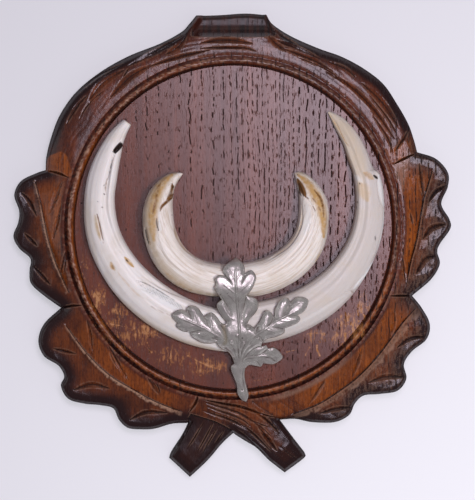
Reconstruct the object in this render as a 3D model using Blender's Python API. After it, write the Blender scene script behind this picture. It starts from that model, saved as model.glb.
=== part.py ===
"""Wild boar tusk trophy: four tusks fixed on a carved oak shield, under a cast oak-leaf spray.

The shield lies on its back, with +Z out of its carved face and +Y towards its crown. The origin is on
the back, under the middle of the ring moulding. Drawn sizes are in millimetres; a mesh is in metres.
"""

import math

import bmesh
import bpy
import numpy as np
from mathutils.geometry import delaunay_2d_cdt

MM = 0.001
GAP = 0.3                  # clearance between pieces that touch
CURVE_STEP = 2.0           # spacing of the points that distances from a curve are taken to

# The round field and its ring moulding, a bead between two V grooves. The ring is cut a little oval.
FIELD_Z = 20.0             # thickness of the board at the field
RING_RX, RING_RY = 101.6, 103.7
RING_STEPS = 84
# (distance outwards from the middle of the bead, height over the back)
RING_PROFILE = ((-3.6, 20.0), (-2.7, 18.1), (-1.7, 19.4), (-0.1, 20.0),
                (1.5, 19.2), (2.3, 17.4), (3.1, 19.2))
STRIP_EDGE = 5.0           # outer edge of the flat strip that is left round the ring

# The carved border falls from the ring to its outer edge, which has a bevel.
BORDER_FALL = 3.4
BEVEL_WIDTH, BEVEL_DROP = 2.4, 2.6
BEVEL_CURVE = 1.5          # power that makes the bevel hollow at its foot
OUTLINE_STEP = 4.6         # spacing of the outline's points
GRID_STEP = 7.0            # spacing of the loose points between the carved lines
LINE_CLEAR = 1.2           # room that loose points leave to a carved line
EDGE_CLEAR = 0.6           # room that carved lines leave to the outline

# The outline, clockwise from the left end of the crown. Each stretch runs from corner to corner.
CROWN_TOP = [(-23, 131.5), (-8, 132), (7.5, 133), (20.5, 132)]
RIGHT_BRANCH = [(20.5, 132), (24.5, 126), (36, 118.5), (53, 111), (67, 106), (81, 98.5), (93, 89),
                (101.5, 76.5), (108.5, 64), (112, 54), (114, 46.5)]
RIGHT_UPPER_LEAF = [(114, 46.5), (125.5, 42.5), (133, 34), (133, 25), (129, 14.5), (134, 5), (134.5, -1),
                    (128, -10.5), (126.5, -15.5), (128, -23), (122.5, -32.5), (111, -42.5)]
RIGHT_LOWER_LEAF = [(111, -42.5), (117, -50), (122, -60), (120, -69.5), (111, -77), (106, -85),
                    (107.5, -94), (102, -101.5), (91, -103.5), (81, -104.5), (75.5, -109.5), (72, -116.5),
                    (63, -121), (49, -121), (38.5, -119), (28.5, -119.5)]
RIGHT_FOOT = [[(28.5, -119.5), (36, -129.5), (44.5, -140.5)], [(44.5, -140.5), (44, -143.5), (32, -152.5)],
              [(32, -152.5), (22, -144.5), (14.5, -137), (8, -133), (0, -128)]]
LEFT_FOOT = [[(0, -128), (-7, -134.5), (-15.5, -144.5), (-27, -155.5)], [(-27, -155.5), (-40, -143.5)],
             [(-40, -143.5), (-38.5, -139.5), (-32, -129.5), (-28, -121.5)]]
LEFT_LOWER_LEAF = [(-28, -121.5), (-38, -122), (-48.5, -125), (-57, -125.5), (-65.5, -124.5), (-71, -119.5),
                   (-74.5, -112.5), (-82.5, -110.5), (-92.5, -109.5), (-102.5, -106.5), (-107, -98.5),
                   (-105, -92.5), (-108.5, -86), (-117.5, -80), (-121, -70.5), (-117.5, -60), (-107, -50)]
LEFT_UPPER_LEAF = [(-107, -50), (-117.5, -42.5), (-125.5, -35), (-126.5, -27), (-126, -19.5), (-133, -13),
                   (-136.5, -5.5), (-133.5, 3), (-133, 10.5), (-136, 20), (-132, 28.5), (-122.5, 33.5),
                   (-116.5, 35.5)]
LEFT_BRANCH = [(-116.5, 35.5), (-116, 44), (-113, 56), (-107.5, 70), (-97.5, 84), (-83, 96), (-65.5, 106),
               (-45.5, 114), (-32.5, 121), (-27.5, 126), (-23, 131.5)]
SHIELD = [CROWN_TOP, RIGHT_BRANCH, RIGHT_UPPER_LEAF, RIGHT_LOWER_LEAF, *RIGHT_FOOT, *LEFT_FOOT,
          LEFT_LOWER_LEAF, LEFT_UPPER_LEAF, LEFT_BRANCH]

# Midribs: each is a raised line at the foot of a panel that slopes down from the strip round the ring.
RIBS = [[(-123, 29.5), (-119, 14), (-115, -6), (-111, -19), (-107, -29), (-101.5, -41)],
        [(-104.5, -59.5), (-97, -70), (-88, -81), (-76, -92), (-61, -101), (-47, -108.5), (-31, -114.5)],
        [(35, -116.5), (52, -110), (65, -102), (77, -93), (89, -80.5), (98.5, -68), (105.5, -58.5),
         (114, -49)],
        [(107, -36.5), (110, -21), (113.5, -8), (116, 6.5), (118, 17.5), (120.5, 25.5), (123.5, 36.5)]]
RIB_DEPTH, RIB_HEIGHT, RIB_WIDTH = 2.3, 0.8, 1.8
RIB_WALL = 0.35            # width of the steep side of a rib, towards its panel
RIB_STEP = 6.0
RIB_FADE = 0.125           # share of its length over which a rib dies away at each end

# Veins and nicks, cut with a gouge: points of the stroke, half its width and its depth.
VEINS = [([(-106.5, 28), (-110, 18.5), (-114, 8)], 2.4, 1.5),
         ([(-106.5, 14.5), (-109, 3), (-112, -8)], 1.9, 1.4),
         ([(-132, 22), (-126, 15.5), (-121.5, 7.5)], 1.6, 1.4), ([(-129, -3.5), (-120.5, -12.5)], 1.3, 1.2),
         ([(-124, -24), (-113, -36)], 1.4, 1.3), ([(-90.5, -59), (-88, -76.5)], 1.5, 1.2),
         ([(-76.5, -74.5), (-66, -94.5)], 1.7, 1.3), ([(-53, -93), (-46, -103.5)], 1.5, 1.2),
         ([(-112, -75), (-97, -79)], 1.4, 1.1), ([(-99.5, -101), (-76, -100)], 2.2, 1.5),
         ([(-64, -119.5), (-50, -115), (-38, -114.5)], 1.7, 1.3), ([(100, -52.5), (98, -68.5)], 1.5, 1.1),
         ([(80.5, -75), (73.5, -94)], 1.7, 1.3), ([(57, -94.5), (47.5, -109)], 1.6, 1.3),
         ([(99, -74.5), (108, -69.5), (120, -67.5)], 1.7, 1.4), ([(85.5, -96.5), (106, -93.5)], 2.3, 1.4),
         ([(53, -115.5), (64, -112.5), (74.5, -111.5)], 1.7, 1.3), ([(120, 15), (132.5, 26)], 1.5, 1.5),
         ([(117, -8), (132, 2)], 2.0, 1.6), ([(113, -30), (124.5, -17.5)], 2.2, 1.6),
         ([(115, 39.5), (116.5, 28), (118, 19)], 1.6, 1.5)]
# Long strokes along the bark of the two branches and of the crossed stems.
BARK = [([(-104, 60), (-96, 75), (-84, 86.5)], 1.6, 1.3), ([(-90, 84.5), (-74, 96), (-58, 103)], 1.8, 1.4),
        ([(-64, 96), (-48, 104.5), (-30, 111)], 1.7, 1.3),
        ([(-55, 107.5), (-42, 112.5), (-30, 118)], 1.5, 1.2),
        ([(30, 112), (47, 105.5), (62, 97)], 1.8, 1.4), ([(44, 110), (60, 104.5), (74, 97)], 1.6, 1.3),
        ([(62, 94), (78, 84.5), (90, 73)], 1.8, 1.4), ([(84, 86), (95, 74), (103, 60)], 1.7, 1.4),
        ([(-19, 113.5), (-2, 115), (14.5, 112.5)], 2.2, 1.4),
        ([(-12, -107.5), (0, -111.5), (10, -115.5), (18, -121.5)], 1.4, 1.3),
        ([(-18, -109.5), (-5, -114), (6, -119.5), (14, -128)], 1.5, 1.4),
        ([(-19, -113.5), (-6, -119), (4, -124), (12, -132.5)], 1.3, 1.2),
        ([(17, -127.5), (22.5, -135), (27.5, -142.5)], 1.8, 1.5),
        ([(-13, -123.5), (-24.5, -137.5)], 1.6, 1.3), ([(-4, -126.5), (-18, -141)], 1.5, 1.2)]
# Narrow cuts that part one leaf, branch or stem from the next.
PARTINGS = [([(-115, 35), (-108.5, 33.5), (-101.5, 30.5)], 1.0, 1.8),
            ([(112.5, 45.5), (106, 42.5), (98.5, 38.5)], 1.0, 1.8),
            ([(-106, -50), (-98.5, -48.5)], 1.0, 1.8), ([(110, -42.5), (96.5, -42.5)], 1.0, 1.8),
            ([(-22, -103.5), (-23, -108), (-27.5, -115)], 1.1, 1.8),
            ([(-19, -106.5), (-7, -109), (6, -111.5), (17, -115.5), (27, -118)], 1.1, 2.0)]
STROKE_SPANS = 5           # edges along each stroke
STROKE_TAPER = 0.7         # power that keeps a stroke wide over most of its length
# The cove scooped out of the crown: half its length, its lowest height, and where it begins and ends.
CROWN_HALF, CROWN_SHELF, CROWN_TOP_Y, CROWN_FOOT_Y = 24.0, 12.5, 126.5, 116.5
# The left foot starts at the lower edge of the stem that crosses over it, and lies lower than that stem.
STEM_EDGE = [(-26, -115.5), (-17.5, -118), (-10, -120.5), (-1, -125.5), (2, -129)]
FOOT_HEEL = [(-26.5, -115), (-28.3, -121.5), (-41.5, -143.5)]         # its left side
FOOT_CORNER = (1.0, -115.0)
FOOT_DROP, FOOT_STEP = 3.6, 0.8

# Sections of the tusks: (across, from -1 on the inner curve to 1 on the outer; up, from 0 to 1).
LOWER_SECTION = [(-0.45, 0), (-0.85, 0.1), (-1, 0.34), (-0.97, 0.62), (-0.84, 0.86), (-0.66, 0.97),
                 (-0.4, 0.95), (-0.05, 1), (0.35, 0.93), (0.68, 0.75), (0.92, 0.52), (1, 0.3),
                 (0.88, 0.08), (0.5, 0)]
UPPER_SECTION = [(-0.5, 0), (-0.85, 0.12), (-1, 0.38), (-0.95, 0.62), (-0.78, 0.84), (-0.5, 0.96),
                 (-0.12, 1), (0.28, 0.97), (0.62, 0.86), (0.88, 0.66), (1, 0.4), (0.88, 0.13), (0.52, 0)]
TUSK_CENTRE = (1.7, 16.8)  # the middle of the crescents
# Stations along a tusk, root first: degrees from straight down, inner radius, outer radius, depth.
LOWER_LEFT = [(-1.5, 67.7, 93.7, 14), (-15, 67.7, 93.7, 14), (-30, 67.7, 93.8, 14), (-45, 68.8, 94.2, 14),
              (-60, 71.3, 94.7, 13.5), (-75, 73.8, 94.9, 13), (-90, 74.7, 93.5, 12), (-100, 74.4, 92.3, 11),
              (-110, 75.7, 90.1, 9.5), (-118, 78, 88.2, 7.5), (-125.5, 79.5, 85.2, 5)]
LOWER_RIGHT = [(1.5, 63.5, 89.8, 14), (15, 64.2, 90.2, 14), (30, 66.1, 91.3, 14), (45, 68.6, 92.5, 14),
               (60, 71.3, 92.6, 13.5), (75, 73.2, 92.5, 13), (90, 73.5, 91.3, 12), (100, 73.5, 90.1, 11),
               (103.5, 73.2, 86.2, 10.5), (110, 72.9, 84.6, 9), (120, 75.6, 83.3, 7), (128, 77.2, 81.4, 4.5),
               (133, 78.6, 79.4, 2.4)]
UPPER_LEFT = [(-1, 39.6, 59.4, 18), (-15, 40.5, 61.2, 18), (-30, 42.5, 63.7, 18), (-45, 43, 64.4, 18),
              (-60, 41.8, 62.6, 17.5), (-75, 39.8, 59.5, 16.5), (-88, 39, 56.3, 14.5), (-98, 38.7, 52.4, 12),
              (-106, 37.8, 47.8, 9), (-112, 36.9, 43.6, 6.5), (-116, 36.4, 38.4, 4)]
UPPER_RIGHT = [(1, 39, 59.9, 18), (15, 39.1, 60.8, 18), (30, 39.9, 61.7, 18), (45, 40.8, 62.4, 18),
               (60, 41.1, 61.7, 17.5), (75, 39.6, 58.9, 16.5), (88, 38.8, 56.4, 14.5), (98, 38.7, 52.7, 12),
               (105, 38.7, 49.1, 9), (110.5, 38.9, 46, 6.5), (114.5, 39.2, 42.4, 4)]
TUSK_STATIONS = 24

# The oak-leaf spray, clockwise from the tip of its top leaf. A stretch is one lobe, notch to notch.
SPRAY = [
    [(1.5, -18.5), (5, -21), (7, -25), (7, -28.5)],
    [(7, -28.5), (11, -26.5), (13.5, -29), (14, -32), (12, -37), (8.5, -42)],
    [(8.5, -42), (14, -44), (15.5, -48), (14, -52), (10.5, -56), (8.5, -59.5)],
    [(8.5, -59.5), (10.5, -60), (13, -62)],
    [(13, -62), (16, -57.5), (18.5, -52.5), (20.5, -51), (23, -52), (25, -55)],
    [(25, -55), (25.5, -50.5), (27.5, -46), (30.5, -43.5), (33.5, -43.5), (35, -46)],
    [(35, -46), (38.5, -43), (43, -43), (46, -45), (45, -49), (43, -52), (39.5, -54)],
    [(39.5, -54), (41, -56), (39.5, -58.5), (35.5, -60.5), (31.5, -62)],
    [(31.5, -62), (31, -65), (25.5, -67.5), (21, -68.5), (18, -71)],
    [(18, -71), (17.5, -73), (20, -72.5), (21.5, -74.5)],
    [(21.5, -74.5), (25, -74), (28.5, -76.5), (30.5, -80), (28.5, -82.5), (24.5, -84.5), (18.5, -84)],
    [(18.5, -84), (17, -86), (13.5, -85.5), (10, -85), (7.5, -87)],
    [(7.5, -87), (7, -91), (8, -97), (9.5, -103), (9, -106), (8, -108)],
    [(8, -108), (5, -106.5), (2.5, -102.5), (2, -97.5), (0, -92), (-1.5, -88), (-1.5, -85.5), (0.5, -84)],
    [(0.5, -84), (-1, -79.5), (-4, -76), (-7, -75), (-9.5, -72.5), (-10, -71)],
    [(-10, -71), (-15, -71.5), (-19, -71), (-23, -69), (-25.5, -67), (-26.5, -64.5)],
    [(-26.5, -64.5), (-30.5, -64), (-34, -62), (-35, -60.5), (-34, -59)],
    [(-34, -59), (-36.5, -56.5), (-37.5, -54), (-36, -52), (-32, -50.5), (-28.5, -51.5)],
    [(-28.5, -51.5), (-28, -49), (-25, -48), (-21.5, -49.5), (-19, -53), (-17.5, -55)],
    [(-17.5, -55), (-15.5, -53), (-13, -52.5), (-10, -55), (-8, -58)],
    [(-8, -58), (-5.5, -59.5), (-4, -58)],
    [(-4, -58), (-7, -55), (-9.5, -50.5), (-10, -47), (-7, -44.5)],
    [(-7, -44.5), (-9.5, -41), (-11.5, -37.5), (-10.5, -35), (-11.5, -32), (-9, -29.5), (-4.5, -30)],
    [(-4.5, -30), (-6.5, -27), (-5.5, -24), (-2, -21), (1.5, -18.5)]]
SPRAY_STEP = 2.0           # spacing of the outline's points
SPRAY_MIDRIBS = [[(3.5, -89), (2.5, -72), (3, -58), (2.5, -46), (1.5, -33.5), (1.5, -22.5)],
                 [(1, -73), (-10, -66.5), (-19, -61), (-27, -57.5), (-34, -54.5)],
                 [(6, -74), (9, -71), (17, -64.5), (25.5, -58), (36, -51.5), (42.5, -47)],
                 [(6, -85.5), (10, -81.5), (20, -80.5), (28, -79.5)]]
# Furrows that run in from the notches between lobes: points, half the width and the depth.
SPRAY_FURROWS = [([(-4.5, -30.5), (-1.5, -33.5), (0, -39)], 1.1, 0.7),
                 ([(6.5, -29), (5, -33), (4, -39)], 1.1, 0.7),
                 ([(8.5, -42), (5.5, -50), (5.5, -58)], 1.2, 0.8),
                 ([(-7, -45), (-2.5, -51), (1, -57)], 1.2, 0.8),
                 ([(-17.5, -55), (-15.5, -59.5), (-14.5, -63)], 1.1, 0.7),
                 ([(-28, -52), (-25, -55), (-23, -58)], 1.1, 0.7),
                 ([(-26, -64.5), (-21.5, -64), (-16.5, -63.5)], 1.1, 0.7),
                 ([(25, -55), (22, -58.5), (19.5, -61)], 1.1, 0.7),
                 ([(34.5, -46), (31, -50), (28.5, -55)], 1.1, 0.7),
                 ([(39, -54), (34.5, -54.5), (31, -55)], 1.0, 0.6),
                 ([(31, -62), (25.5, -61.5), (21.5, -62)], 1.0, 0.6),
                 ([(-7.5, -73), (-0.5, -75.5), (2.5, -84)], 1.2, 0.7),
                 ([(17.5, -71.5), (11, -77), (6.5, -85)], 1.2, 0.7),
                 ([(21, -75), (19, -78), (15, -80)], 1.0, 0.6)]
# Height of the under side over the back, by distance from the middle of the crescents.
SPRAY_UNDER = [(33, 31.5), (36, 34), (39, 36.5), (42, 38.2), (46, 39), (54, 39), (58, 38.3), (61, 37.2),
               (64, 36), (68, 35.2), (74, 35), (81, 35), (85, 34.2), (88, 33), (91, 31.4), (94, 29.6),
               (98, 27.2), (103, 25.4), (110, 23.6), (118, 21.8), (126, 20.6)]
SPRAY_EDGE, SPRAY_DOME, SPRAY_DOME_WIDTH = 1.0, 1.7, 4.5
SPRAY_RIDGE, SPRAY_RIDGE_WIDTH = 0.6, 1.0
SPRAY_LEAST = 0.8          # thinnest that the casting gets under a furrow
SPRAY_GRID, SPRAY_LINE_STEP, SPRAY_CLEAR = 2.6, 2.8, 1.1


def clear_scene():
    for old in list(bpy.data.objects):
        bpy.data.objects.remove(old, do_unlink=True)


def finish(name, colour, roughness, metallic=0.0):
    """A plain material for one piece."""
    material = bpy.data.materials.new(name)
    material.use_nodes = True
    shader = material.node_tree.nodes["Principled BSDF"]
    shader.inputs["Base Color"].default_value = (*colour, 1.0)
    shader.inputs["Roughness"].default_value = roughness
    shader.inputs["Metallic"].default_value = metallic
    material.diffuse_color = (*colour, 1.0)
    return material


def add_piece(name, mesh_data, material, collection, parent, place=(0.0, 0.0, 0.0)):
    """One named solid from a bmesh drawn in millimetres about its own place."""
    bmesh.ops.recalc_face_normals(mesh_data, faces=mesh_data.faces)
    bmesh.ops.scale(mesh_data, vec=(MM, MM, MM), verts=mesh_data.verts)
    mesh = bpy.data.meshes.new(name)
    mesh_data.to_mesh(mesh)
    mesh_data.free()
    mesh.materials.append(material)
    mesh.shade_smooth()
    mesh.set_sharp_from_angle(angle=math.radians(35))
    piece = bpy.data.objects.new(name, mesh)
    piece.location = [MM * value for value in place]
    piece.parent = parent
    collection.objects.link(piece)
    return piece


def spline(points, fraction):
    """Point at a fraction, 0 to 1, of a Catmull-Rom curve through rows of numbers."""
    rows = np.asarray(points, float)
    spans = len(rows) - 1
    span = min(int(fraction * spans), spans - 1)
    t = fraction * spans - span
    b, c = rows[span], rows[span + 1]
    a = rows[span - 1] if span > 0 else 2 * b - c
    d = rows[span + 2] if span + 2 <= spans else 2 * c - b
    return 0.5 * (2 * b + (c - a) * t + (2 * a - 5 * b + 4 * c - d) * t**2 + (3 * b - a - 3 * c + d) * t**3)


def smooth_path(points, step):
    """A smooth line through the points, with a vertex about every step."""
    rows = np.asarray(points, float)
    length = np.linalg.norm(np.diff(rows, axis=0), axis=1).sum()
    count = max(2, round(length / step))
    return np.array([spline(rows, index / count) for index in range(count + 1)])


def closed_outline(stretches, step):
    return np.vstack([smooth_path(stretch, step)[:-1] for stretch in stretches])


def nearest(points, line):
    """For each point: distance to a line, fraction along it, and side (+1 on its left)."""
    start, run = line[:-1], np.diff(line, axis=0)
    reach = points[:, None, :] - start
    along = np.clip((reach * run).sum(2) / (run * run).sum(1), 0, 1)
    off = reach - along[..., None] * run
    distance = np.linalg.norm(off, axis=2)
    best = distance.argmin(1)
    row = np.arange(len(points))
    length = np.concatenate([[0], np.cumsum(np.linalg.norm(run, axis=1))])
    fraction = (length[best] + along[row, best] * np.diff(length)[best]) / length[-1]
    cross = run[best, 0] * off[row, best, 1] - run[best, 1] * off[row, best, 0]
    return distance[row, best], fraction, np.sign(cross)


def beside(line, distance):
    """A line moved sideways, to its left where the distance is positive."""
    run = np.gradient(line, axis=0)
    normal = np.stack([-run[:, 1], run[:, 0]], 1) / np.linalg.norm(run, axis=1)[:, None]
    return line + np.reshape(distance, (-1, 1)) * normal


def taper(fraction):
    """Width and depth of a gouge stroke along its length: nothing at its ends, full at its middle."""
    return np.sin(math.pi * np.clip(fraction, 0, 1)) ** STROKE_TAPER


def stroke_cut(points, stroke):
    """Depth of one V-shaped gouge stroke at each point."""
    path, half_width, depth = stroke
    distance, fraction, _ = nearest(points, smooth_path(path, CURVE_STEP))
    shape = taper(fraction)
    return depth * shape * np.clip(1 - distance / (half_width * np.maximum(shape, 0.01)), 0, 1)


def stroke_lines(stroke):
    """Middle line and both sides of a stroke, which stay as edges of the relief."""
    path, half_width, _ = stroke
    fractions = np.linspace(0, 1, STROKE_SPANS + 1)
    middle = np.array([spline(path, fraction) for fraction in fractions])
    reach = half_width * taper(fractions)
    return [middle, beside(middle, reach), beside(middle, -reach)]


def rib_lines(path):
    """A rib's foot line, its top and its outer side, which stay as edges of the relief."""
    rib = smooth_path(path, RIB_STEP)
    return [rib, beside(rib, -RIB_WALL), beside(rib, -RIB_WIDTH)]


def ring_offset(points):
    """Distance outwards from the middle of the ring's bead."""
    scale = np.hypot(points[:, 0] / RING_RX, points[:, 1] / RING_RY)
    return (scale - 1) * (RING_RX + RING_RY) / 2


def ring_loop(offset):
    turns = np.linspace(0, 2 * math.pi, RING_STEPS, endpoint=False)
    scale = 1 + 2 * offset / (RING_RX + RING_RY)
    return np.stack([RING_RX * scale * np.cos(turns), RING_RY * scale * np.sin(turns)], 1)


def rib_relief(points, outside):
    """Height of the ribs, and depth of the panels that slope down to them from the strip round the ring."""
    ridge, cut = np.zeros(len(points)), np.zeros(len(points))
    for path in RIBS:
        away, fraction, side = nearest(points, smooth_path(path, CURVE_STEP))
        shape = np.clip(np.minimum(fraction, 1 - fraction) / RIB_FADE, 0, 1)
        slope = outside / np.maximum(outside + away, 0.01)
        crest = shape * RIB_HEIGHT * np.clip(1 - away / RIB_WIDTH, 0, 1)
        ridge = np.maximum(ridge, np.where(side > 0, 0, crest))
        cut = np.maximum(cut, np.where(side > 0, shape * RIB_DEPTH * slope, 0))
    return ridge, cut


def crown_scoop(points):
    """Height of the cove in the crown, and the full height of the board elsewhere."""
    along = np.clip((CROWN_TOP_Y - points[:, 1]) / (CROWN_TOP_Y - CROWN_FOOT_Y), 0, 1)
    scoop = CROWN_SHELF + (FIELD_Z - CROWN_SHELF) * along**2
    in_crown = (np.abs(points[:, 0]) < CROWN_HALF) & (points[:, 1] > CROWN_FOOT_Y)
    return np.where(in_crown, scoop, FIELD_Z)


def foot_step(points):
    """Depth of the left foot below the stem that crosses over it."""
    away, _, side = nearest(points, smooth_path(STEM_EDGE, CURVE_STEP))
    heel_x, heel_y = np.array(FOOT_HEEL[::-1]).T
    x, y = points.T
    foot = (side < 0) & (x > np.interp(y, heel_y, heel_x)) & (x < FOOT_CORNER[0]) & (y < FOOT_CORNER[1])
    return np.where(foot, FOOT_DROP * np.clip(away / FOOT_STEP, 0, 1), 0)


def shield_height(points, outline):
    """Height of the carved face over the back, at each point of the plan."""
    profile = np.array(RING_PROFILE)
    offset = ring_offset(points)
    edge, _, _ = nearest(points, np.vstack([outline, outline[:1]]))
    outside = np.maximum(offset - STRIP_EDGE, 0)
    ridge, panel = rib_relief(points, outside)
    strokes = [stroke_cut(points, stroke) for stroke in VEINS + BARK + PARTINGS]
    height = profile[-1, 1] - BORDER_FALL * outside / np.maximum(outside + edge, 0.01)
    height = height - np.maximum(panel, np.max(strokes, axis=0)) + ridge
    height = np.minimum(height, crown_scoop(points)) - foot_step(points)
    height = height - BEVEL_DROP * np.clip(1 - edge / BEVEL_WIDTH, 0, 1) ** BEVEL_CURVE
    return np.where(offset < profile[-1, 0], np.interp(offset, profile[:, 0], profile[:, 1]), height)


def triangulate(outline, lines, loops, spots):
    """Plan triangles inside an outline, with every line and loop kept as edges."""
    points = [tuple(p) for p in outline]
    edges = []
    for line, is_loop in [(line, False) for line in lines] + [(loop, True) for loop in loops]:
        first = len(points)
        points += [tuple(p) for p in line]
        edges += [(first + i, first + i + 1) for i in range(len(line) - 1)]
        if is_loop:
            edges.append((first + len(line) - 1, first))
    points += [tuple(p) for p in spots]
    face = [list(range(len(outline)))]
    flat, _, triangles, _, _, _ = delaunay_2d_cdt(points, edges, face, 1, 1e-4)
    plan = bmesh.new()
    verts = [plan.verts.new((x, y, 0)) for x, y in flat]
    for triangle in triangles:
        plan.faces.new([verts[i] for i in triangle])
    bmesh.ops.remove_doubles(plan, verts=plan.verts, dist=0.25)
    bmesh.ops.triangulate(plan, faces=plan.faces)
    return plan


def relief(plan, top, bottom):
    """Closed solid between two height functions over the same plan."""
    raised = bmesh.ops.extrude_face_region(plan, geom=list(plan.faces))["geom"]
    upper = {item for item in raised if isinstance(item, bmesh.types.BMVert)}
    verts = list(plan.verts)
    flat = np.array([vert.co.xy for vert in verts])
    for vert, high, low in zip(verts, top(flat), bottom(flat)):
        vert.co.z = high if vert in upper else low


def keep_clear(spots, lines, distance):
    """The spots that lie further than a distance from every line."""
    spots = np.asarray(spots)
    for line in lines:
        spots = spots[nearest(spots, line)[0] > distance]
    return spots


def inside(points, outline):
    """Whether each point lies inside a closed outline."""
    ends = np.roll(outline, -1, axis=0)
    x, y = points[:, 0][:, None], points[:, 1][:, None]
    spans = (outline[:, 1] > y) != (ends[:, 1] > y)
    rise = np.where(ends[:, 1] == outline[:, 1], 1, ends[:, 1] - outline[:, 1])
    cross = outline[:, 0] + (y - outline[:, 1]) * (ends[:, 0] - outline[:, 0]) / rise
    return (spans & (x < cross)).sum(1) % 2 == 1


def border_grid(outline):
    """Spots of a loose hexagon grid over the carved border."""
    (left, foot), (right, top) = outline.min(0), outline.max(0)
    rows = []
    for row, y in enumerate(np.arange(foot, top, GRID_STEP * math.sin(math.radians(60)))):
        rows += [(x + row % 2 * GRID_STEP / 2, y) for x in np.arange(left, right, GRID_STEP)]
    spots = np.array(rows)
    return spots[inside(spots, outline) & (ring_offset(spots) > STRIP_EDGE + LINE_CLEAR)]


def crown_grid():
    """Spots in rows along the cove of the crown, so that its hollow shows."""
    rows = np.linspace(CROWN_TOP_Y, CROWN_FOOT_Y, 4)
    return [(x, y) for y in rows for x in np.linspace(-0.8, 0.8, 8) * CROWN_HALF]


def bevel_loop(outline):
    """Top edge of the bevel: the outline moved inwards, without its tangles in sharp notches."""
    run = np.roll(outline, -1, axis=0) - np.roll(outline, 1, axis=0)
    inward = np.stack([run[:, 1], -run[:, 0]], 1) / np.linalg.norm(run, axis=1)[:, None]
    loop = outline + BEVEL_WIDTH * inward
    edge, _, _ = nearest(loop, np.vstack([outline, outline[:1]]))
    return loop[inside(loop, outline) & (edge > 0.9 * BEVEL_WIDTH)]


def shield_board(collection, parent):
    """The oak board, with its carved face, flat back and square walls."""
    outline = closed_outline(SHIELD, OUTLINE_STEP)
    closed = np.vstack([outline, outline[:1]])
    loops = [ring_loop(offset) for offset, _ in RING_PROFILE] + [ring_loop(STRIP_EDGE), bevel_loop(outline)]
    lines = [line for stroke in VEINS + BARK + PARTINGS for line in stroke_lines(stroke)]
    lines += [line for path in RIBS for line in rib_lines(path)]
    stem = smooth_path(STEM_EDGE, OUTLINE_STEP)
    lines += [stem, beside(stem, -FOOT_STEP), np.array(FOOT_HEEL[:2])]
    lines = [line[inside(line, outline) & (nearest(line, closed)[0] > EDGE_CLEAR)] for line in lines]
    lines = [line for line in lines if len(line) > 1]
    spots = keep_clear(border_grid(outline), [closed], BEVEL_WIDTH + LINE_CLEAR)
    spots = keep_clear(np.vstack([spots, crown_grid()]), lines, LINE_CLEAR)
    plan = triangulate(outline, lines, loops, spots)
    relief(plan, lambda flat: shield_height(flat, outline), lambda flat: np.zeros(len(flat)))
    back = [face for face in plan.faces if all(vert.co.z == 0 for vert in face.verts)]
    bmesh.ops.dissolve_faces(plan, faces=back)
    bmesh.ops.triangulate(plan, faces=[face for face in plan.faces if len(face.verts) > 4])
    oak = finish("stained oak", (0.16, 0.06, 0.035), 0.4)
    return add_piece("shield_board", plan, oak, collection, parent)


def tusk(name, stations, section, collection, parent, ivory):
    """A tusk: unlike sections of one outline, set square to a crescent."""
    shape = bmesh.new()
    rings = []
    for index in range(TUSK_STATIONS + 1):
        angle, inner, outer, depth = spline(stations, index / TUSK_STATIONS)
        turn = math.radians(angle)
        middle, half = (inner + outer) / 2, (outer - inner) / 2
        ring = []
        for across, up in section:
            radius = middle + half * across
            ring.append(shape.verts.new((radius * math.sin(turn), -radius * math.cos(turn), depth * up)))
        rings.append(ring)
    for near, far in zip(rings, rings[1:]):
        for k in range(len(section)):
            j = (k + 1) % len(section)
            shape.faces.new((near[k], near[j], far[j], far[k]))
    shape.faces.new(rings[0])
    shape.faces.new(rings[-1])
    return add_piece(name, shape, ivory, collection, parent, (*TUSK_CENTRE, FIELD_Z + GAP))


def spray_under(points):
    """Under side of the spray, which drapes over the roots of the tusks and reaches down to the board."""
    table = np.array(SPRAY_UNDER)
    radius = np.hypot(points[:, 0] - TUSK_CENTRE[0], points[:, 1] - TUSK_CENTRE[1])
    return np.interp(radius, table[:, 0], table[:, 1])


def spray_thickness(points, outline):
    """Thickness of the casting: domed lobes, furrows between them and raised midribs."""
    edge, _, _ = nearest(points, np.vstack([outline, outline[:1]]))
    dome = 1 - (1 - np.clip(edge / SPRAY_DOME_WIDTH, 0, 1)) ** 2
    thickness = SPRAY_EDGE + SPRAY_DOME * dome
    for furrow in SPRAY_FURROWS:
        thickness = thickness - stroke_cut(points, furrow)
    for path in SPRAY_MIDRIBS:
        away, _, _ = nearest(points, smooth_path(path, CURVE_STEP))
        thickness = thickness + SPRAY_RIDGE * np.clip(1 - away / SPRAY_RIDGE_WIDTH, 0, 1)
    return np.maximum(thickness, SPRAY_LEAST)


def oak_leaf_ornament(collection, parent):
    """The cast spray, bent over the tusks."""
    outline = closed_outline(SPRAY, SPRAY_STEP)
    closed = np.vstack([outline, outline[:1]])
    paths = SPRAY_MIDRIBS + [path for path, _, _ in SPRAY_FURROWS]
    lines = [smooth_path(path, SPRAY_LINE_STEP) for path in paths]
    lines = [line[inside(line, outline) & (nearest(line, closed)[0] > EDGE_CLEAR)] for line in lines]
    (left, foot), (right, top) = outline.min(0), outline.max(0)
    across, up = np.meshgrid(np.arange(left, right, SPRAY_GRID), np.arange(foot, top, SPRAY_GRID))
    spots = np.stack([across.ravel(), up.ravel()], 1)
    spots = keep_clear(spots[inside(spots, outline)], [closed] + lines, SPRAY_CLEAR)
    plan = triangulate(outline, lines, [], spots)
    relief(plan, lambda flat: spray_under(flat) + spray_thickness(flat, outline), spray_under)
    pewter = finish("cast pewter", (0.6, 0.58, 0.57), 0.32, 1.0)
    return add_piece("oak_leaf_ornament", plan, pewter, collection, parent)


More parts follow.
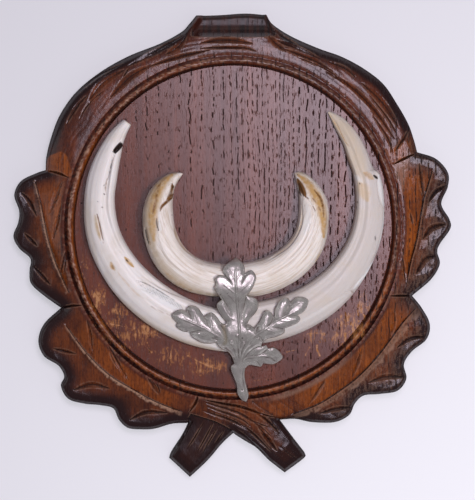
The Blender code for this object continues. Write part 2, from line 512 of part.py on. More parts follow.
clear_scene()
trophy = bpy.data.collections.new("boar_tusk_trophy")
bpy.context.scene.collection.children.link(trophy)
base = bpy.data.objects.new("trophy_base", None)
trophy.objects.link(base)
shield_board(trophy, base)
tusk_ivory = finish("tusk ivory", (0.78, 0.74, 0.69), 0.35)
tusk("lower_tusk_left", LOWER_LEFT, LOWER_SECTION, trophy, base, tusk_ivory)
tusk("lower_tusk_right", LOWER_RIGHT, LOWER_SECTION, trophy, base, tusk_ivory)
tusk("upper_tusk_left", UPPER_LEFT, UPPER_SECTION, trophy, base, tusk_ivory)
tusk("upper_tusk_right", UPPER_RIGHT, UPPER_SECTION, trophy, base, tusk_ivory)
oak_leaf_ornament(trophy, base)
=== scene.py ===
"""Looks of a wild boar tusk trophy: carved oak shield, four tusks and a cast pewter oak-leaf spray.

Drawn sizes are in millimetres, about the middle of the ring moulding. They become metres as a piece is made.
"""

import math

import bmesh
import bpy
import numpy as np
from mathutils import Matrix, Vector
from mathutils.geometry import delaunay_2d_cdt


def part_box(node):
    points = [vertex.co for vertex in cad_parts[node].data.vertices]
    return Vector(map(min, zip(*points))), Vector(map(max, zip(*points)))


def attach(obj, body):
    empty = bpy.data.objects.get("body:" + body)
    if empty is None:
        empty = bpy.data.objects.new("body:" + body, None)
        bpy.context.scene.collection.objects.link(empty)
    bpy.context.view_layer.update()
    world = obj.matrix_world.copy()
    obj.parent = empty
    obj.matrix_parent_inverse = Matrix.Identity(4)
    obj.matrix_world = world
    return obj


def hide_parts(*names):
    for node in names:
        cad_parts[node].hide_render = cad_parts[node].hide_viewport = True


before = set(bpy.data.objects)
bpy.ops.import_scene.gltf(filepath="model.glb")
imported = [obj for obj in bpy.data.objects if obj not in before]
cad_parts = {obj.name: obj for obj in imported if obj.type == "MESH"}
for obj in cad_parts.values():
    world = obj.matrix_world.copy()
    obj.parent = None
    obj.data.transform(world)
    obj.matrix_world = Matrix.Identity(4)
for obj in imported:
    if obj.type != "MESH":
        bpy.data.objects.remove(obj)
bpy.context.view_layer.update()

# ------------------------------------------------------------------------------ Shield board
# One oak board, sawn to a scalloped outline and carved with gouges: a flat round field, a bead
# between two V grooves, and a border of oak leaves and branches with two crossed stem ends.
# It is stained red-brown, shaded darker towards its edges, varnished, and worn through in places.

MM = 0.001
TUSK_GAP = 0.3                                   # the tusks lie this far over the field
FIELD_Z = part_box("lower_tusk_left")[0].z / MM - TUSK_GAP
RING_RX, RING_RY = 101.6, 103.7
RING_STEPS = 660
# (distance outwards from the middle of the bead, height over the back)
RING_PROFILE = ((-3.9, 20.0), (-3.6, 19.6), (-3.3, 18.4), (-3.0, 17.9), (-2.6, 18.2), (-2.0, 18.9),
                (-1.5, 19.45), (-1.0, 19.85), (-0.5, 20.0), (0.0, 19.85), (0.5, 19.5), (1.0, 18.9),
                (1.5, 18.2), (2.0, 17.6), (2.4, 17.3), (2.8, 18.3), (3.2, 19.2))
GROOVE_END = RING_PROFILE[-1][0]
# How deep the outer groove of the ring is cut: degrees round the ring, share of the full depth.
GROOVE_DEPTHS = ((0, 0.15), (95, 0.15), (115, 0.4), (160, 0.5), (195, 1.0), (325, 1.0), (350, 0.15),
                 (360, 0.15))
# Where the dark of the inner groove ends: degrees round the ring, distance from the middle of the bead.
INNER_GROOVE_ENDS = ((0, -1.9), (95, -1.9), (130, -0.9), (330, -0.9), (350, -1.9), (360, -1.9))
PITTING, PIT_SIZE = 0.4, 1.2                     # depth and size of the pits in the bead and the outer groove
STRIP_EDGE = 5.0
BORDER_FALL, FALL_POWER, BRANCH_POWER = 3.4, 1.2, 2.6
BEVEL_DROP, BEVEL_CURVE = 2.7, 1.6
BEVEL_WIDTHS = ((0, 2.6), (18, 2.6), (30, 6.5), (68, 6.5), (78, 3.0), (100, 3.0), (112, 4.4), (150, 4.4),
                (164, 2.6), (360, 2.6))                 # (degrees round the board, width of its bevel)

CROWN_TOP = [(-23, 131.5), (-8, 132), (7.5, 133), (20.5, 132)]
RIGHT_BRANCH = [
    (20.5, 132), (24.5, 126), (36, 118.5), (53, 111), (67, 106), (81, 98.5), (93, 89), (101.5, 76.5),
    (108.5, 64), (112, 54), (114, 46.5)]
RIGHT_UPPER_LEAF = [
    (114, 46.5), (125.5, 42.5), (133, 34), (133, 25), (129, 14.5), (134, 5), (134.5, -1), (128, -10.5),
    (126.5, -15.5), (128, -23), (122.5, -32.5), (111, -42.5)]
RIGHT_LOWER_LEAF = [
    (111, -42.5), (117, -50), (122, -60), (120, -69.5), (111, -77), (106, -85), (107.5, -94), (102, -101.5),
    (91, -103.5), (81, -104.5), (75.5, -109.5), (72, -116.5), (63, -121), (49, -121), (38.5, -119),
    (28.5, -119.5)]
RIGHT_FOOT = [
    [(28.5, -119.5), (36, -129.5), (44.5, -140.5)], [(44.5, -140.5), (44, -143.5), (32, -152.5)],
    [(32, -152.5), (22, -144.5), (14.5, -137), (8, -133), (0, -128)]]
LEFT_FOOT = [
    [(0, -128), (-7, -134.5), (-15.5, -144.5), (-27, -155.5)], [(-27, -155.5), (-40, -143.5)],
    [(-40, -143.5), (-38.5, -139.5), (-32, -129.5), (-28, -121.5)]]
LEFT_LOWER_LEAF = [
    (-28, -121.5), (-38, -122), (-48.5, -125), (-57, -125.5), (-65.5, -124.5), (-71, -119.5),
    (-74.5, -112.5), (-82.5, -110.5), (-92.5, -109.5), (-102.5, -106.5), (-107, -98.5), (-105, -92.5),
    (-108.5, -86), (-117.5, -80), (-121, -70.5), (-117.5, -60), (-107, -50)]
LEFT_UPPER_LEAF = [
    (-107, -50), (-117.5, -42.5), (-125.5, -35), (-126.5, -27), (-126, -19.5), (-133, -13), (-136.5, -5.5),
    (-133.5, 3), (-133, 10.5), (-136, 20), (-132, 28.5), (-122.5, 33.5), (-116.5, 35.5)]
LEFT_BRANCH = [
    (-116.5, 35.5), (-116, 44), (-113, 56), (-107.5, 70), (-97.5, 84), (-83, 96), (-65.5, 106),
    (-45.5, 114), (-32.5, 121), (-27.5, 126), (-23, 131.5)]
SHIELD = [CROWN_TOP, RIGHT_BRANCH, RIGHT_UPPER_LEAF, RIGHT_LOWER_LEAF, *RIGHT_FOOT, *LEFT_FOOT,
          LEFT_LOWER_LEAF, LEFT_UPPER_LEAF, LEFT_BRANCH]

# Midribs: raised lines at the foot of the panels that slope down from the strip round the ring.
RIBS = [
    [(-123, 29.5), (-119, 14), (-115, -6), (-111, -19), (-107, -29), (-101.5, -41)],
    [(-104.5, -59.5), (-97, -70), (-88, -81), (-76, -92), (-61, -101), (-47, -108.5), (-31, -114.5)],
    [(35, -116.5), (52, -110), (65, -102), (77, -93), (89, -80.5), (98.5, -68), (105.5, -58.5), (114, -49)],
    [(107, -36.5), (110, -21), (113.5, -8), (116, 6.5), (118, 17.5), (120.5, 25.5), (123.5, 36.5)]]
RIB_DEPTH, RIB_HEIGHT, RIB_WIDTH, RIB_WALL, RIB_FADE = 2.3, 0.8, 1.8, 0.35, 0.125

# Veins cut into the panels and into the lobes: points of the stroke, half its width and its depth.
PANEL_VEINS = [
    ([(-106.5, 28), (-110, 18.5), (-114, 8)], 2.2, 1.2),
    ([(-106.5, 14.5), (-109, 3), (-112, -8)], 1.7, 1.2),
    ([(-103.2, -13.5), (-105, -21), (-107.2, -28.8)], 1.2, 0.8),
    ([(-90.5, -57), (-88.5, -66), (-87.3, -77)], 1.3, 1.1),
    ([(-77.3, -73), (-72, -83), (-65.8, -95)], 1.4, 1.2), ([(-53, -93), (-46, -103.5)], 1.3, 1.1),
    ([(100, -51.5), (99.5, -60), (97.2, -69.2)], 1.3, 1.0),
    ([(79.5, -76), (77, -84), (73.5, -93.5)], 1.5, 1.2), ([(57, -94.5), (47.5, -109)], 1.5, 1.2),
    ([(115, 39.5), (116.5, 28), (118, 19)], 1.6, 1.5), ([(109.3, 9.2), (111.2, 1.6)], 1.0, 0.9),
    ([(104.8, -18.7), (106.7, -34.5)], 1.1, 0.9)]
# Thin V gouges between the veins of the panels.
FINE_HALF_WIDTH, FINE_DEPTH = 0.8, 0.8
FINE_VEINS = [(path, FINE_HALF_WIDTH, FINE_DEPTH) for path in (
    [(-105.2, 28.8), (-109.7, 18.3), (-113.5, 8.4)], [(-105.8, 15.6), (-108.6, 5.6), (-111.9, -8.2)],
    [(-103, -14.2), (-104.7, -29.2)], [(-89.2, -57.1), (-88.7, -69.8), (-87, -77.5)],
    [(-76.5, -74.2), (-74.3, -81.9), (-66, -94.1)], [(-71, -84.7), (-64.9, -94.6)],
    [(-52.2, -94.1), (-48.9, -97.4), (-45.6, -103.5)], [(-47.3, -96.8), (-45.1, -102.9)],
    [(80.1, -74.8), (77.4, -80.8), (74.1, -91.9)], [(57, -93.5), (52, -101.3), (46.5, -110.6)],
    [(99.5, -51.6), (98.4, -61), (97.3, -69.8)])]
LOBE_VEINS = [
    ([(-132, 22), (-126.5, 16.5), (-121.6, 6.5)], 1.6, 1.4), ([(-129.5, -3.5), (-121, -12)], 1.3, 1.2),
    ([(-124, -24), (-118, -30.5), (-113, -36)], 1.4, 1.3), ([(-112, -75), (-97, -78.5)], 1.3, 1.1),
    ([(-99.5, -101), (-88, -97.5), (-76, -100)], 2.0, 1.3),
    ([(-64.5, -119.5), (-54, -114.6), (-40, -115)], 1.7, 1.3),
    ([(101, -74.8), (109.3, -69.2), (119.5, -67.6)], 1.7, 1.5),
    ([(83.4, -96.4), (94, -92.8), (106.4, -92.8)], 2.0, 1.4),
    ([(53, -115.5), (64, -112.5), (74.5, -111.5)], 1.7, 1.3),
    ([(120.6, 14.8), (125, 21.8), (132.6, 26.3)], 1.6, 1.5),
    ([(117, -8), (122.6, -0.6), (131.8, 2.1)], 2.0, 1.6),
    ([(112.8, -29.4), (118.3, -20), (125, -17.6)], 2.0, 1.6)]
# Long gouge strokes along the bark of the two branches, in the crown, and along the crossed stems.
BRANCH_BARK = [
    ([(-103.7, 63), (-96.5, 75), (-90, 82)], 1.5, 1.1),
    ([(-90.5, 76), (-81.5, 88.8), (-67, 97.6)], 2.8, 1.5),
    ([(-76.5, 79.5), (-64.4, 92.6), (-51, 100.2)], 2.5, 1.5),
    ([(-54, 98.6), (-34, 105.2), (-14, 109.6)], 1.6, 1.2),
    ([(-66, 99.4), (-52, 106), (-34, 114.5)], 1.8, 1.2),
    ([(-62, 102.6), (-47, 109.6), (-31, 118.5)], 1.4, 1.1),
    ([(-42, 106.5), (-34, 112), (-28.5, 120)], 2.4, 1.6), ([(-68, 93), (-64.5, 98.5)], 0.8, 0.9),
    ([(-98, 82), (-84, 93.4), (-68, 101.4)], 0.9, 0.7), ([(-96, 66), (-88, 78), (-79, 85)], 0.9, 0.6),
    ([(24, 116.5), (40, 110.5), (54, 104)], 1.8, 1.3), ([(30, 110.6), (47, 104.4), (62, 96)], 1.6, 1.2),
    ([(57, 96.4), (73, 86.6), (88, 71.5), (100, 54)], 1.9, 1.5),
    ([(79, 89.6), (92, 77.4), (103, 61)], 2.3, 1.5), ([(58, 102.6), (69, 98.4), (76, 92.6)], 1.3, 1.0),
    ([(38, 105.6), (56, 98.5), (70, 88)], 0.8, 0.7), ([(84, 82), (95, 68), (101, 58)], 0.8, 0.7),
    ([(86, 69.5), (95, 56), (99, 46)], 1.0, 0.7), ([(100, 47), (105.6, 55), (108.5, 60)], 1.3, 1.2)]
CROWN_BARK = [
    ([(-20.5, 114), (-4, 115.8), (12.5, 113.4)], 2.2, 1.5),
    ([(-21, 110.6), (-8, 111), (7, 110.8), (14.5, 108.4)], 1.3, 1.1),
    ([(20, 121), (26, 114), (33, 108.5)], 2.0, 1.4), ([(22.5, 125), (30, 118), (40, 112.6)], 1.4, 1.0)]
STEM_BARK = [
    ([(-18, -108.3), (2, -114.4), (13, -120.5), (23, -124)], 1.1, 1.1),
    ([(5.5, -111.4), (13, -113.6), (21, -119.8), (29, -128)], 1.3, 1.2),
    ([(-19.4, -113.4), (-4.6, -118.2), (5.5, -123), (12.3, -128)], 1.0, 1.0),
    ([(-17, -110.8), (-4, -115.2), (6, -119.4), (11, -123.6)], 0.9, 0.9),
    ([(14.4, -121.4), (21.2, -131), (27.4, -139)], 1.8, 1.6),
    ([(3.5, -120.8), (13, -128.4), (24.4, -140)], 0.9, 1.0),
    ([(0.8, -124.2), (9, -130.8), (22, -142.6)], 0.8, 0.9),
    ([(9, -117.6), (16, -123), (24, -130)], 0.9, 0.9)]
FOOT_BARK = [
    ([(-12, -120.5), (-17, -130), (-22.5, -140)], 0.6, 0.7),
    ([(-9, -123), (-15, -133), (-20, -142)], 0.5, 0.6),
    ([(-18, -120.5), (-24, -130.5), (-29, -138)], 0.6, 0.6), ([(-5.5, -126), (-12.5, -136)], 0.5, 0.6),
    ([(-24.5, -119.5), (-30.5, -129.5)], 0.6, 0.7)]
# The smooth cut end of the left branch, beside the leaf.
LEFT_STUB = [
    (-117.5, 33), (-116, 41.8), (-113.7, 44.8), (-110.3, 46), (-106.8, 47.3), (-103.4, 45.3),
    (-101.4, 40.8), (-99.5, 31)]
# Narrow cuts that part one leaf, branch or stem from the next.
PARTINGS = [
    ([(-115, 35), (-108.5, 33.5), (-101.5, 30.5)], 1.0, 1.8),
    ([(112.5, 45.5), (106, 42.5), (98.5, 38.5)], 1.0, 1.8),
    ([(-108, -50.3), (-100, -48.7), (-93, -48.3)], 1.0, 1.8), ([(110, -42.5), (96.5, -42.5)], 1.0, 1.8),
    ([(-22, -103.5), (-23, -108), (-27.5, -115)], 1.1, 1.8),
    ([(-19, -106.5), (-7, -109), (6, -111.5), (17, -115.5), (27, -118)], 1.1, 2.0)]
STROKES = PANEL_VEINS + FINE_VEINS + LOBE_VEINS + BRANCH_BARK + CROWN_BARK + STEM_BARK + FOOT_BARK + PARTINGS
STROKE_TAPER, STROKE_ROUND = 0.7, 1.3
PANEL_END, PANEL_FULL = 32, 26                   # how far from its rib a panel fades out
FLATTER_LEAF = 0.7                               # how much less the right upper leaf falls to its edge
EXTRA_VEIN = 0.8                                 # how much deeper a vein goes in a panel
LOBE_VALLEY, LOBE_VALLEY_REACH = 0.8, 7.0        # soft hollow on both sides of a lobe's vein
LOBE_VEIN_DEPTH = 1.4                            # of a middling vein, which the hollow's depth goes with
CROWN_SHELF, CROWN_TOP_Y, CROWN_FOOT_Y = 12.5, 126.5, 116.5
CROWN_HALVES = ((116.5, 30.0), (131.5, 22.5))    # (y, half width of the cove)
# The wedge by the right upper leaf is painted pale: a painted sheen.
UPPER_SHEEN_WEDGE_EDGE = ((17, 104), (43, 109.5))      # (y, x): the right edge of a pale wedge by the right leaf
STEM_EDGE = [(-26, -115.5), (-17.5, -118), (-10, -120.5), (-1, -125.5), (2, -129)]
FOOT_HEEL = [(-26.5, -115), (-28.3, -121.5), (-41.5, -143.5)]         # its left side
FOOT_CORNER = (1.0, -115.0)
FOOT_DROP, FOOT_STEP = 3.6, 0.8
# Depths of the tool marks: along the bark, along the stems, in the waves and the chatter of the leaves.
BARK_MARKS, STEM_MARKS, WAVES, CHATTER, MORE_CHATTER = 0.12, 0.25, 0.3, 0.03, 0.03
COVE_SMOOTH = 0.85
# End facets of the two stems: a line across each, and how far it falls from there to the outline.
END_FACETS = [([(25.9, -144.3), (35.6, -133.2)], 3.2, 11.0), ([(-33.4, -138.3), (-20.7, -150.4)], 2.0, 9.0)]

OUTLINE_STEP, LINE_STEP = 0.85, 0.8
BORDER_GRID, FIELD_GRID, WORN_GRID = 0.7, 3.0, 1.1
LINE_CLEAR, EDGE_CLEAR, EDGE_MARGIN = 0.34, 0.45, 0.55
WELD, SNAP = 0.08, 1e-4                          # points of a plan nearer than this become one
# Distances from the middle of the bead: where tool lines of the border and of the field may come,
# where the field's fine points lie, and where its loose ones start.
BORDER_LINES, FIELD_LINES, WORN_BAND, FIELD_EDGE = 3.3, -4.4, (-34, -4.6), -5.5
WORN_TOP = -20                                   # the fine points lie below this y
CURVE_STEP = 2.0
SHARP_CARVING = math.radians(38)
BATCH = 3000                                     # points that are measured at a time
WALL_ROWS = 4

# Where the stain is rubbed thin: middle and half widths of each patch, and how thin it is.
WORN_PATCHES = [
    ((-83.5, -44), (4, 7), 0.9), ((-71, -52), (5, 4), 0.75), ((-76, -59), (7, 4), 0.4),
    ((-54, -64.5), (8, 4), 0.8), ((-64, -66), (14, 10), 0.35), ((-38, -80), (12, 7), 0.35),
    ((-16, -86), (11, 5), 0.5), ((51.5, -67.5), (8, 3.5), 0.5), ((70, -60), (7, 6), 0.55),
    ((76, -63), (6, 5), 0.7), ((79, -50), (5, 8), 0.45), ((66, -68), (6, 5), 0.5),
    ((-92, -25), (3, 9), 0.3)]
PATCH_REACH, PATCH_CORE = 1.9, 0.2               # where a patch ends and where it is full, in half widths
SCRATCH_STRENGTH, SCRATCH_WIDTH = 1.25, 0.35     # over what the rows below say
# Scratches down to bare oak: path, half width and strength.
SCRATCHES = [
    ([(-28, -79.5), (-18.5, -84.5), (-8.5, -88)], 0.6, 0.8), ([(-38.5, -77), (-39, -83)], 0.5, 0.8),
    ([(-31, -85.5), (-30.5, -94)], 0.3, 0.5), ([(-18.5, -79), (-14.5, -83)], 0.5, 0.7),
    ([(-76, -60), (-72, -60.5), (-67.5, -61.5)], 0.5, 0.8), ([(-54.5, -73), (-50.5, -77.5)], 0.4, 0.6),
    ([(-53, -71.5), (-52, -74.5)], 0.4, 0.8), ([(-20, -87.5), (-20, -91.5)], 0.4, 0.7),
    ([(52, -73), (52, -76.5), (53.5, -79.5)], 0.7, 1.0), ([(47, -74.5), (44, -80)], 0.5, 0.9),
    ([(45.5, -66), (50.5, -65.5), (57, -66)], 0.4, 0.8), ([(33, -77), (38.5, -76)], 0.3, 0.6),
    ([(66.5, -55.5), (69.5, -58.5), (69.5, -63)], 0.6, 0.9), ([(71.5, -57.5), (71.5, -65)], 0.5, 0.9),
    ([(69.5, -67.5), (73.5, -65.5), (78.5, -62)], 0.5, 0.8), ([(74.5, -60.5), (74.5, -63)], 0.6, 0.9),
    ([(78.5, -47), (80.5, -52.5), (80, -57)], 0.5, 0.8), ([(72.5, -50), (70.5, -55.5)], 0.5, 0.7),
    ([(74, -58.5), (80, -58)], 0.5, 0.8), ([(63.5, -62), (63.5, -69.5)], 0.4, 0.7),
    ([(-50, -65), (-45.5, -68)], 0.6, 1.0), ([(-90, -52), (-82, -66), (-72, -78)], 0.3, 0.5),
    ([(12, -95), (24, -93.5)], 0.3, 0.4), ([(60, -73), (66, -70)], 0.3, 0.5)]


def spline(points, fraction):
    """Point at a fraction, 0 to 1, of a Catmull-Rom curve through rows of numbers."""
    rows = np.asarray(points, float)
    spans = len(rows) - 1
    span = min(int(fraction * spans), spans - 1)
    t = fraction * spans - span
    b, c = rows[span], rows[span + 1]
    a = rows[span - 1] if span > 0 else 2 * b - c
    d = rows[span + 2] if span + 2 <= spans else 2 * c - b
    return 0.5 * (2 * b + (c - a) * t + (2 * a - 5 * b + 4 * c - d) * t**2 + (3 * b - a - 3 * c + d) * t**3)


def smooth_path(points, step):
    rows = np.asarray(points, float)
    length = np.linalg.norm(np.diff(rows, axis=0), axis=1).sum()
    count = max(2, round(length / step))
    return np.array([spline(rows, index / count) for index in range(count + 1)])


def closed_outline(stretches, step):
    return np.vstack([smooth_path(stretch, step)[:-1] for stretch in stretches])


def nearest_few(points, line):
    start, run = line[:-1], np.diff(line, axis=0)
    reach = points[:, None, :] - start
    along = np.clip((reach * run).sum(2) / (run * run).sum(1), 0, 1)
    off = reach - along[..., None] * run
    distance = np.linalg.norm(off, axis=2)
    best = distance.argmin(1)
    row = np.arange(len(points))
    length = np.concatenate([[0], np.cumsum(np.linalg.norm(run, axis=1))])
    fraction = (length[best] + along[row, best] * np.diff(length)[best]) / length[-1]
    cross = run[best, 0] * off[row, best, 1] - run[best, 1] * off[row, best, 0]
    return distance[row, best], fraction, np.sign(cross)


def nearest(points, line):
    """For each point: distance to a line, fraction along it, and side (+1 on its left)."""
    parts = [nearest_few(points[i:i + BATCH], line) for i in range(0, len(points), BATCH)]
    return [np.concatenate(part) for part in zip(*parts)]


def inside(points, outline):
    """Whether each point lies inside a closed outline."""
    ends = np.roll(outline, -1, axis=0)
    rise = np.where(ends[:, 1] == outline[:, 1], 1, ends[:, 1] - outline[:, 1])
    found = []
    for i in range(0, len(points), BATCH):
        x, y = points[i:i + BATCH, 0][:, None], points[i:i + BATCH, 1][:, None]
        spans = (outline[:, 1] > y) != (ends[:, 1] > y)
        cross = outline[:, 0] + (y - outline[:, 1]) * (ends[:, 0] - outline[:, 0]) / rise
        found.append((spans & (x < cross)).sum(1) % 2 == 1)
    return np.concatenate(found)


def edge_distance(points, outline):
    """How far each point lies from a closed outline."""
    return nearest(points, np.vstack([outline, outline[:1]]))[0]


def beside(line, distance):
    """A line moved sideways, to its left where the distance is positive."""
    run = np.gradient(line, axis=0)
    normal = np.stack([-run[:, 1], run[:, 0]], 1) / np.linalg.norm(run, axis=1)[:, None]
    return line + np.reshape(distance, (-1, 1)) * normal


def noise(x, y, seed):
    """Smooth noise from 0 to 1 with one bump for each unit of x and of y."""
    size = 64
    table = np.random.default_rng(seed).random((size, size))
    left, low = np.floor(x).astype(int), np.floor(y).astype(int)
    fx, fy = x - left, y - low
    fx, fy = fx * fx * (3 - 2 * fx), fy * fy * (3 - 2 * fy)
    rows = []
    for up in (0, 1):
        row = (low + up) % size
        rows.append(table[left % size, row] * (1 - fx) + table[(left + 1) % size, row] * fx)
    return rows[0] * (1 - fy) + rows[1] * fy


def rough_noise(points, width, height, seed):
    """Noise from 0 to 1 in three sizes, the largest with bumps of a width and a height."""
    x, y = points[:, 0] / width, points[:, 1] / height
    fine = 0.3 * noise(2.1 * x, 2.1 * y, seed + 1)
    return 0.55 * noise(x, y, seed) + fine + 0.15 * noise(4.3 * x, 4.3 * y, seed + 2)


def ease(values, low, high):
    """0 below low, 1 above high and smooth between; the other way round where low is above high."""
    t = np.clip((values - low) / (high - low), 0, 1)
    return t * t * (3 - 2 * t)


def between(values, low, rise, fall, high):
    """1 from rise to fall, 0 below low and above high, and smooth in the steps."""
    return ease(values, low, rise) * ease(values, high, fall)


def read_off(values, rows):
    """What a table of (place, value) rows says at each of the values."""
    return np.interp(values, *np.array(rows).T)


def taper(fraction):
    return np.sin(math.pi * np.clip(fraction, 0, 1)) ** STROKE_TAPER


def stroke_cut(points, stroke, reach=None):
    """Depth of one gouge stroke at each point, over its own half width or a wider reach."""
    path, half_width, depth = stroke
    half_width = reach or half_width
    line = smooth_path(path, CURVE_STEP)
    close = np.all((points > line.min(0) - half_width) & (points < line.max(0) + half_width), axis=1)
    cut = np.zeros(len(points))
    distance, fraction, _ = nearest(points[close], line)
    shape = taper(fraction)
    share = np.clip(distance / (half_width * np.maximum(shape, 0.01)), 0, 1)
    cut[close] = depth * shape * (1 - share**STROKE_ROUND)
    return cut


def deepest(points, strokes, reach=None):
    return np.max([stroke_cut(points, stroke, reach) for stroke in strokes], axis=0)


def stroke_lines(stroke):
    """Middle line and both sides of a stroke, which stay as edges of the carving."""
    path, half_width, _ = stroke
    middle = smooth_path(path, LINE_STEP)
    reach = half_width * taper(np.linspace(0, 1, len(middle)))
    return [middle, beside(middle, reach)[1:-1], beside(middle, -reach)[1:-1]]


def rib_lines(path):
    rib = smooth_path(path, LINE_STEP)
    return [rib, beside(rib, -RIB_WALL), beside(rib, -RIB_WIDTH)]


def ring_offset(points):
    """Distance outwards from the middle of the ring's bead."""
    scale = np.hypot(points[:, 0] / RING_RX, points[:, 1] / RING_RY)
    return (scale - 1) * (RING_RX + RING_RY) / 2


def ring_loop(offset):
    turns = np.linspace(0, 2 * math.pi, RING_STEPS, endpoint=False)
    scale = 1 + 2 * offset / (RING_RX + RING_RY)
    return np.stack([RING_RX * scale * np.cos(turns), RING_RY * scale * np.sin(turns)], 1)


def rib_relief(points, outside):
    """Height of the ribs, depth of the panels that slope down to them, and where the panels lie."""
    ridge, cut, panel, flaked = [np.zeros(len(points)) for _ in range(4)]
    for path in RIBS:
        away, fraction, side = nearest(points, smooth_path(path, CURVE_STEP))
        shape = np.clip(np.minimum(fraction, 1 - fraction) / RIB_FADE, 0, 1)
        slope = outside / np.maximum(outside + away, 0.01)
        crest = shape * RIB_HEIGHT * np.clip(1 - np.abs(away - RIB_WALL) / RIB_WIDTH, 0, 1)
        wall = np.clip(1 - away / RIB_WALL, 0, 1) * (side < 0)
        ridge = np.maximum(ridge, np.where(side > 0, 0, crest * (1 - wall)))
        cut = np.maximum(cut, shape * RIB_DEPTH * np.where(side > 0, slope, wall))
        near = ease(outside, 0.0, 1.5) * ease(away, PANEL_END, PANEL_FULL)
        panel = np.maximum(panel, np.where(side > 0, shape, 0) * near)
        low_right = ease(points[:, 0], 0, 60) * ease(points[:, 1], -35, -60)
        band = 0.9 + 1.4 * fraction * (points[:, 1] < -40) + 2.0 * low_right
        band = band * (0.6 + 0.8 * noise(points[:, 0] / 3, points[:, 1] / 3, 81))
        flaked = np.maximum(flaked, np.where(side > 0, 0, shape**0.5 * ease(away, band + 0.5, band - 0.3)))
    return ridge, cut, panel, flaked


def crown_scoop(points):
    """Height of the cove in the crown, and the full height of the board elsewhere."""
    along = np.clip((CROWN_TOP_Y - points[:, 1]) / (CROWN_TOP_Y - CROWN_FOOT_Y), 0, 1)
    scoop = CROWN_SHELF + (FIELD_Z - CROWN_SHELF) * along**2
    ends = ease(np.abs(points[:, 0]) - read_off(points[:, 1], CROWN_HALVES), -5.0, 1.0)
    return np.where(points[:, 1] > CROWN_FOOT_Y, scoop * (1 - ends) + FIELD_Z * ends, FIELD_Z)


def on_left_foot(points):
    """Distance into the left foot, from the stem that crosses over it."""
    away, _, side = nearest(points, smooth_path(STEM_EDGE, CURVE_STEP))
    heel_x, heel_y = np.array(FOOT_HEEL[::-1]).T
    x, y = points.T
    foot = (side < 0) & (x > np.interp(y, heel_y, heel_x)) & (x < FOOT_CORNER[0]) & (y < FOOT_CORNER[1])
    return np.where(foot, away, 0)


def tool_marks(points, offset, foot):
    """Fine gouge and rasp marks: long on the bark, short and all ways on the leaves."""
    x, y = points.T
    turn = np.arctan2(y, x)
    degrees = np.degrees(turn) % 360
    branch = between(degrees, 22, 28, 156, 162) * ease(offset, STRIP_EDGE - 1, STRIP_EDGE + 1)
    right = ease(x, 60, 100) * ease(y, 46, 40)
    stem = ease(y, -104, -110) * ease(np.abs(x + 0.2 * y - 25), 60, 40)
    wander = 1.5 * noise(x / 9, y / 9, 71)
    bark = noise(turn * (RING_RX + offset) / 26, offset / 1.5 + wander, 11)
    stem_bark = noise((0.83 * x - 0.55 * y) / 22, (0.55 * x + 0.83 * y) / 1.15 + wander, 21)
    foot_bark = noise((0.6 * x + 0.8 * y) / 20, (0.8 * x - 0.6 * y) / 1.1 + wander, 31)
    marks = 0
    for depth, pattern in ((BARK_MARKS * branch, bark), (STEM_MARKS * stem * (foot <= 0), stem_bark),
                           (STEM_MARKS * (foot > 0), foot_bark)):
        marks = marks + depth * ease(pattern, 0.6, 0.95)
    cove = ease(y, CROWN_FOOT_Y, CROWN_FOOT_Y + 1.5) * ease(np.abs(x), 27, 23)
    marks = marks + WAVES * rough_noise(points, 5.5, 5.5, 41) * (1 - branch)
    marks = marks + (CHATTER + MORE_CHATTER * right) * rough_noise(points, 1.3, 2.2, 51)
    return marks * (1 - COVE_SMOOTH * cove)


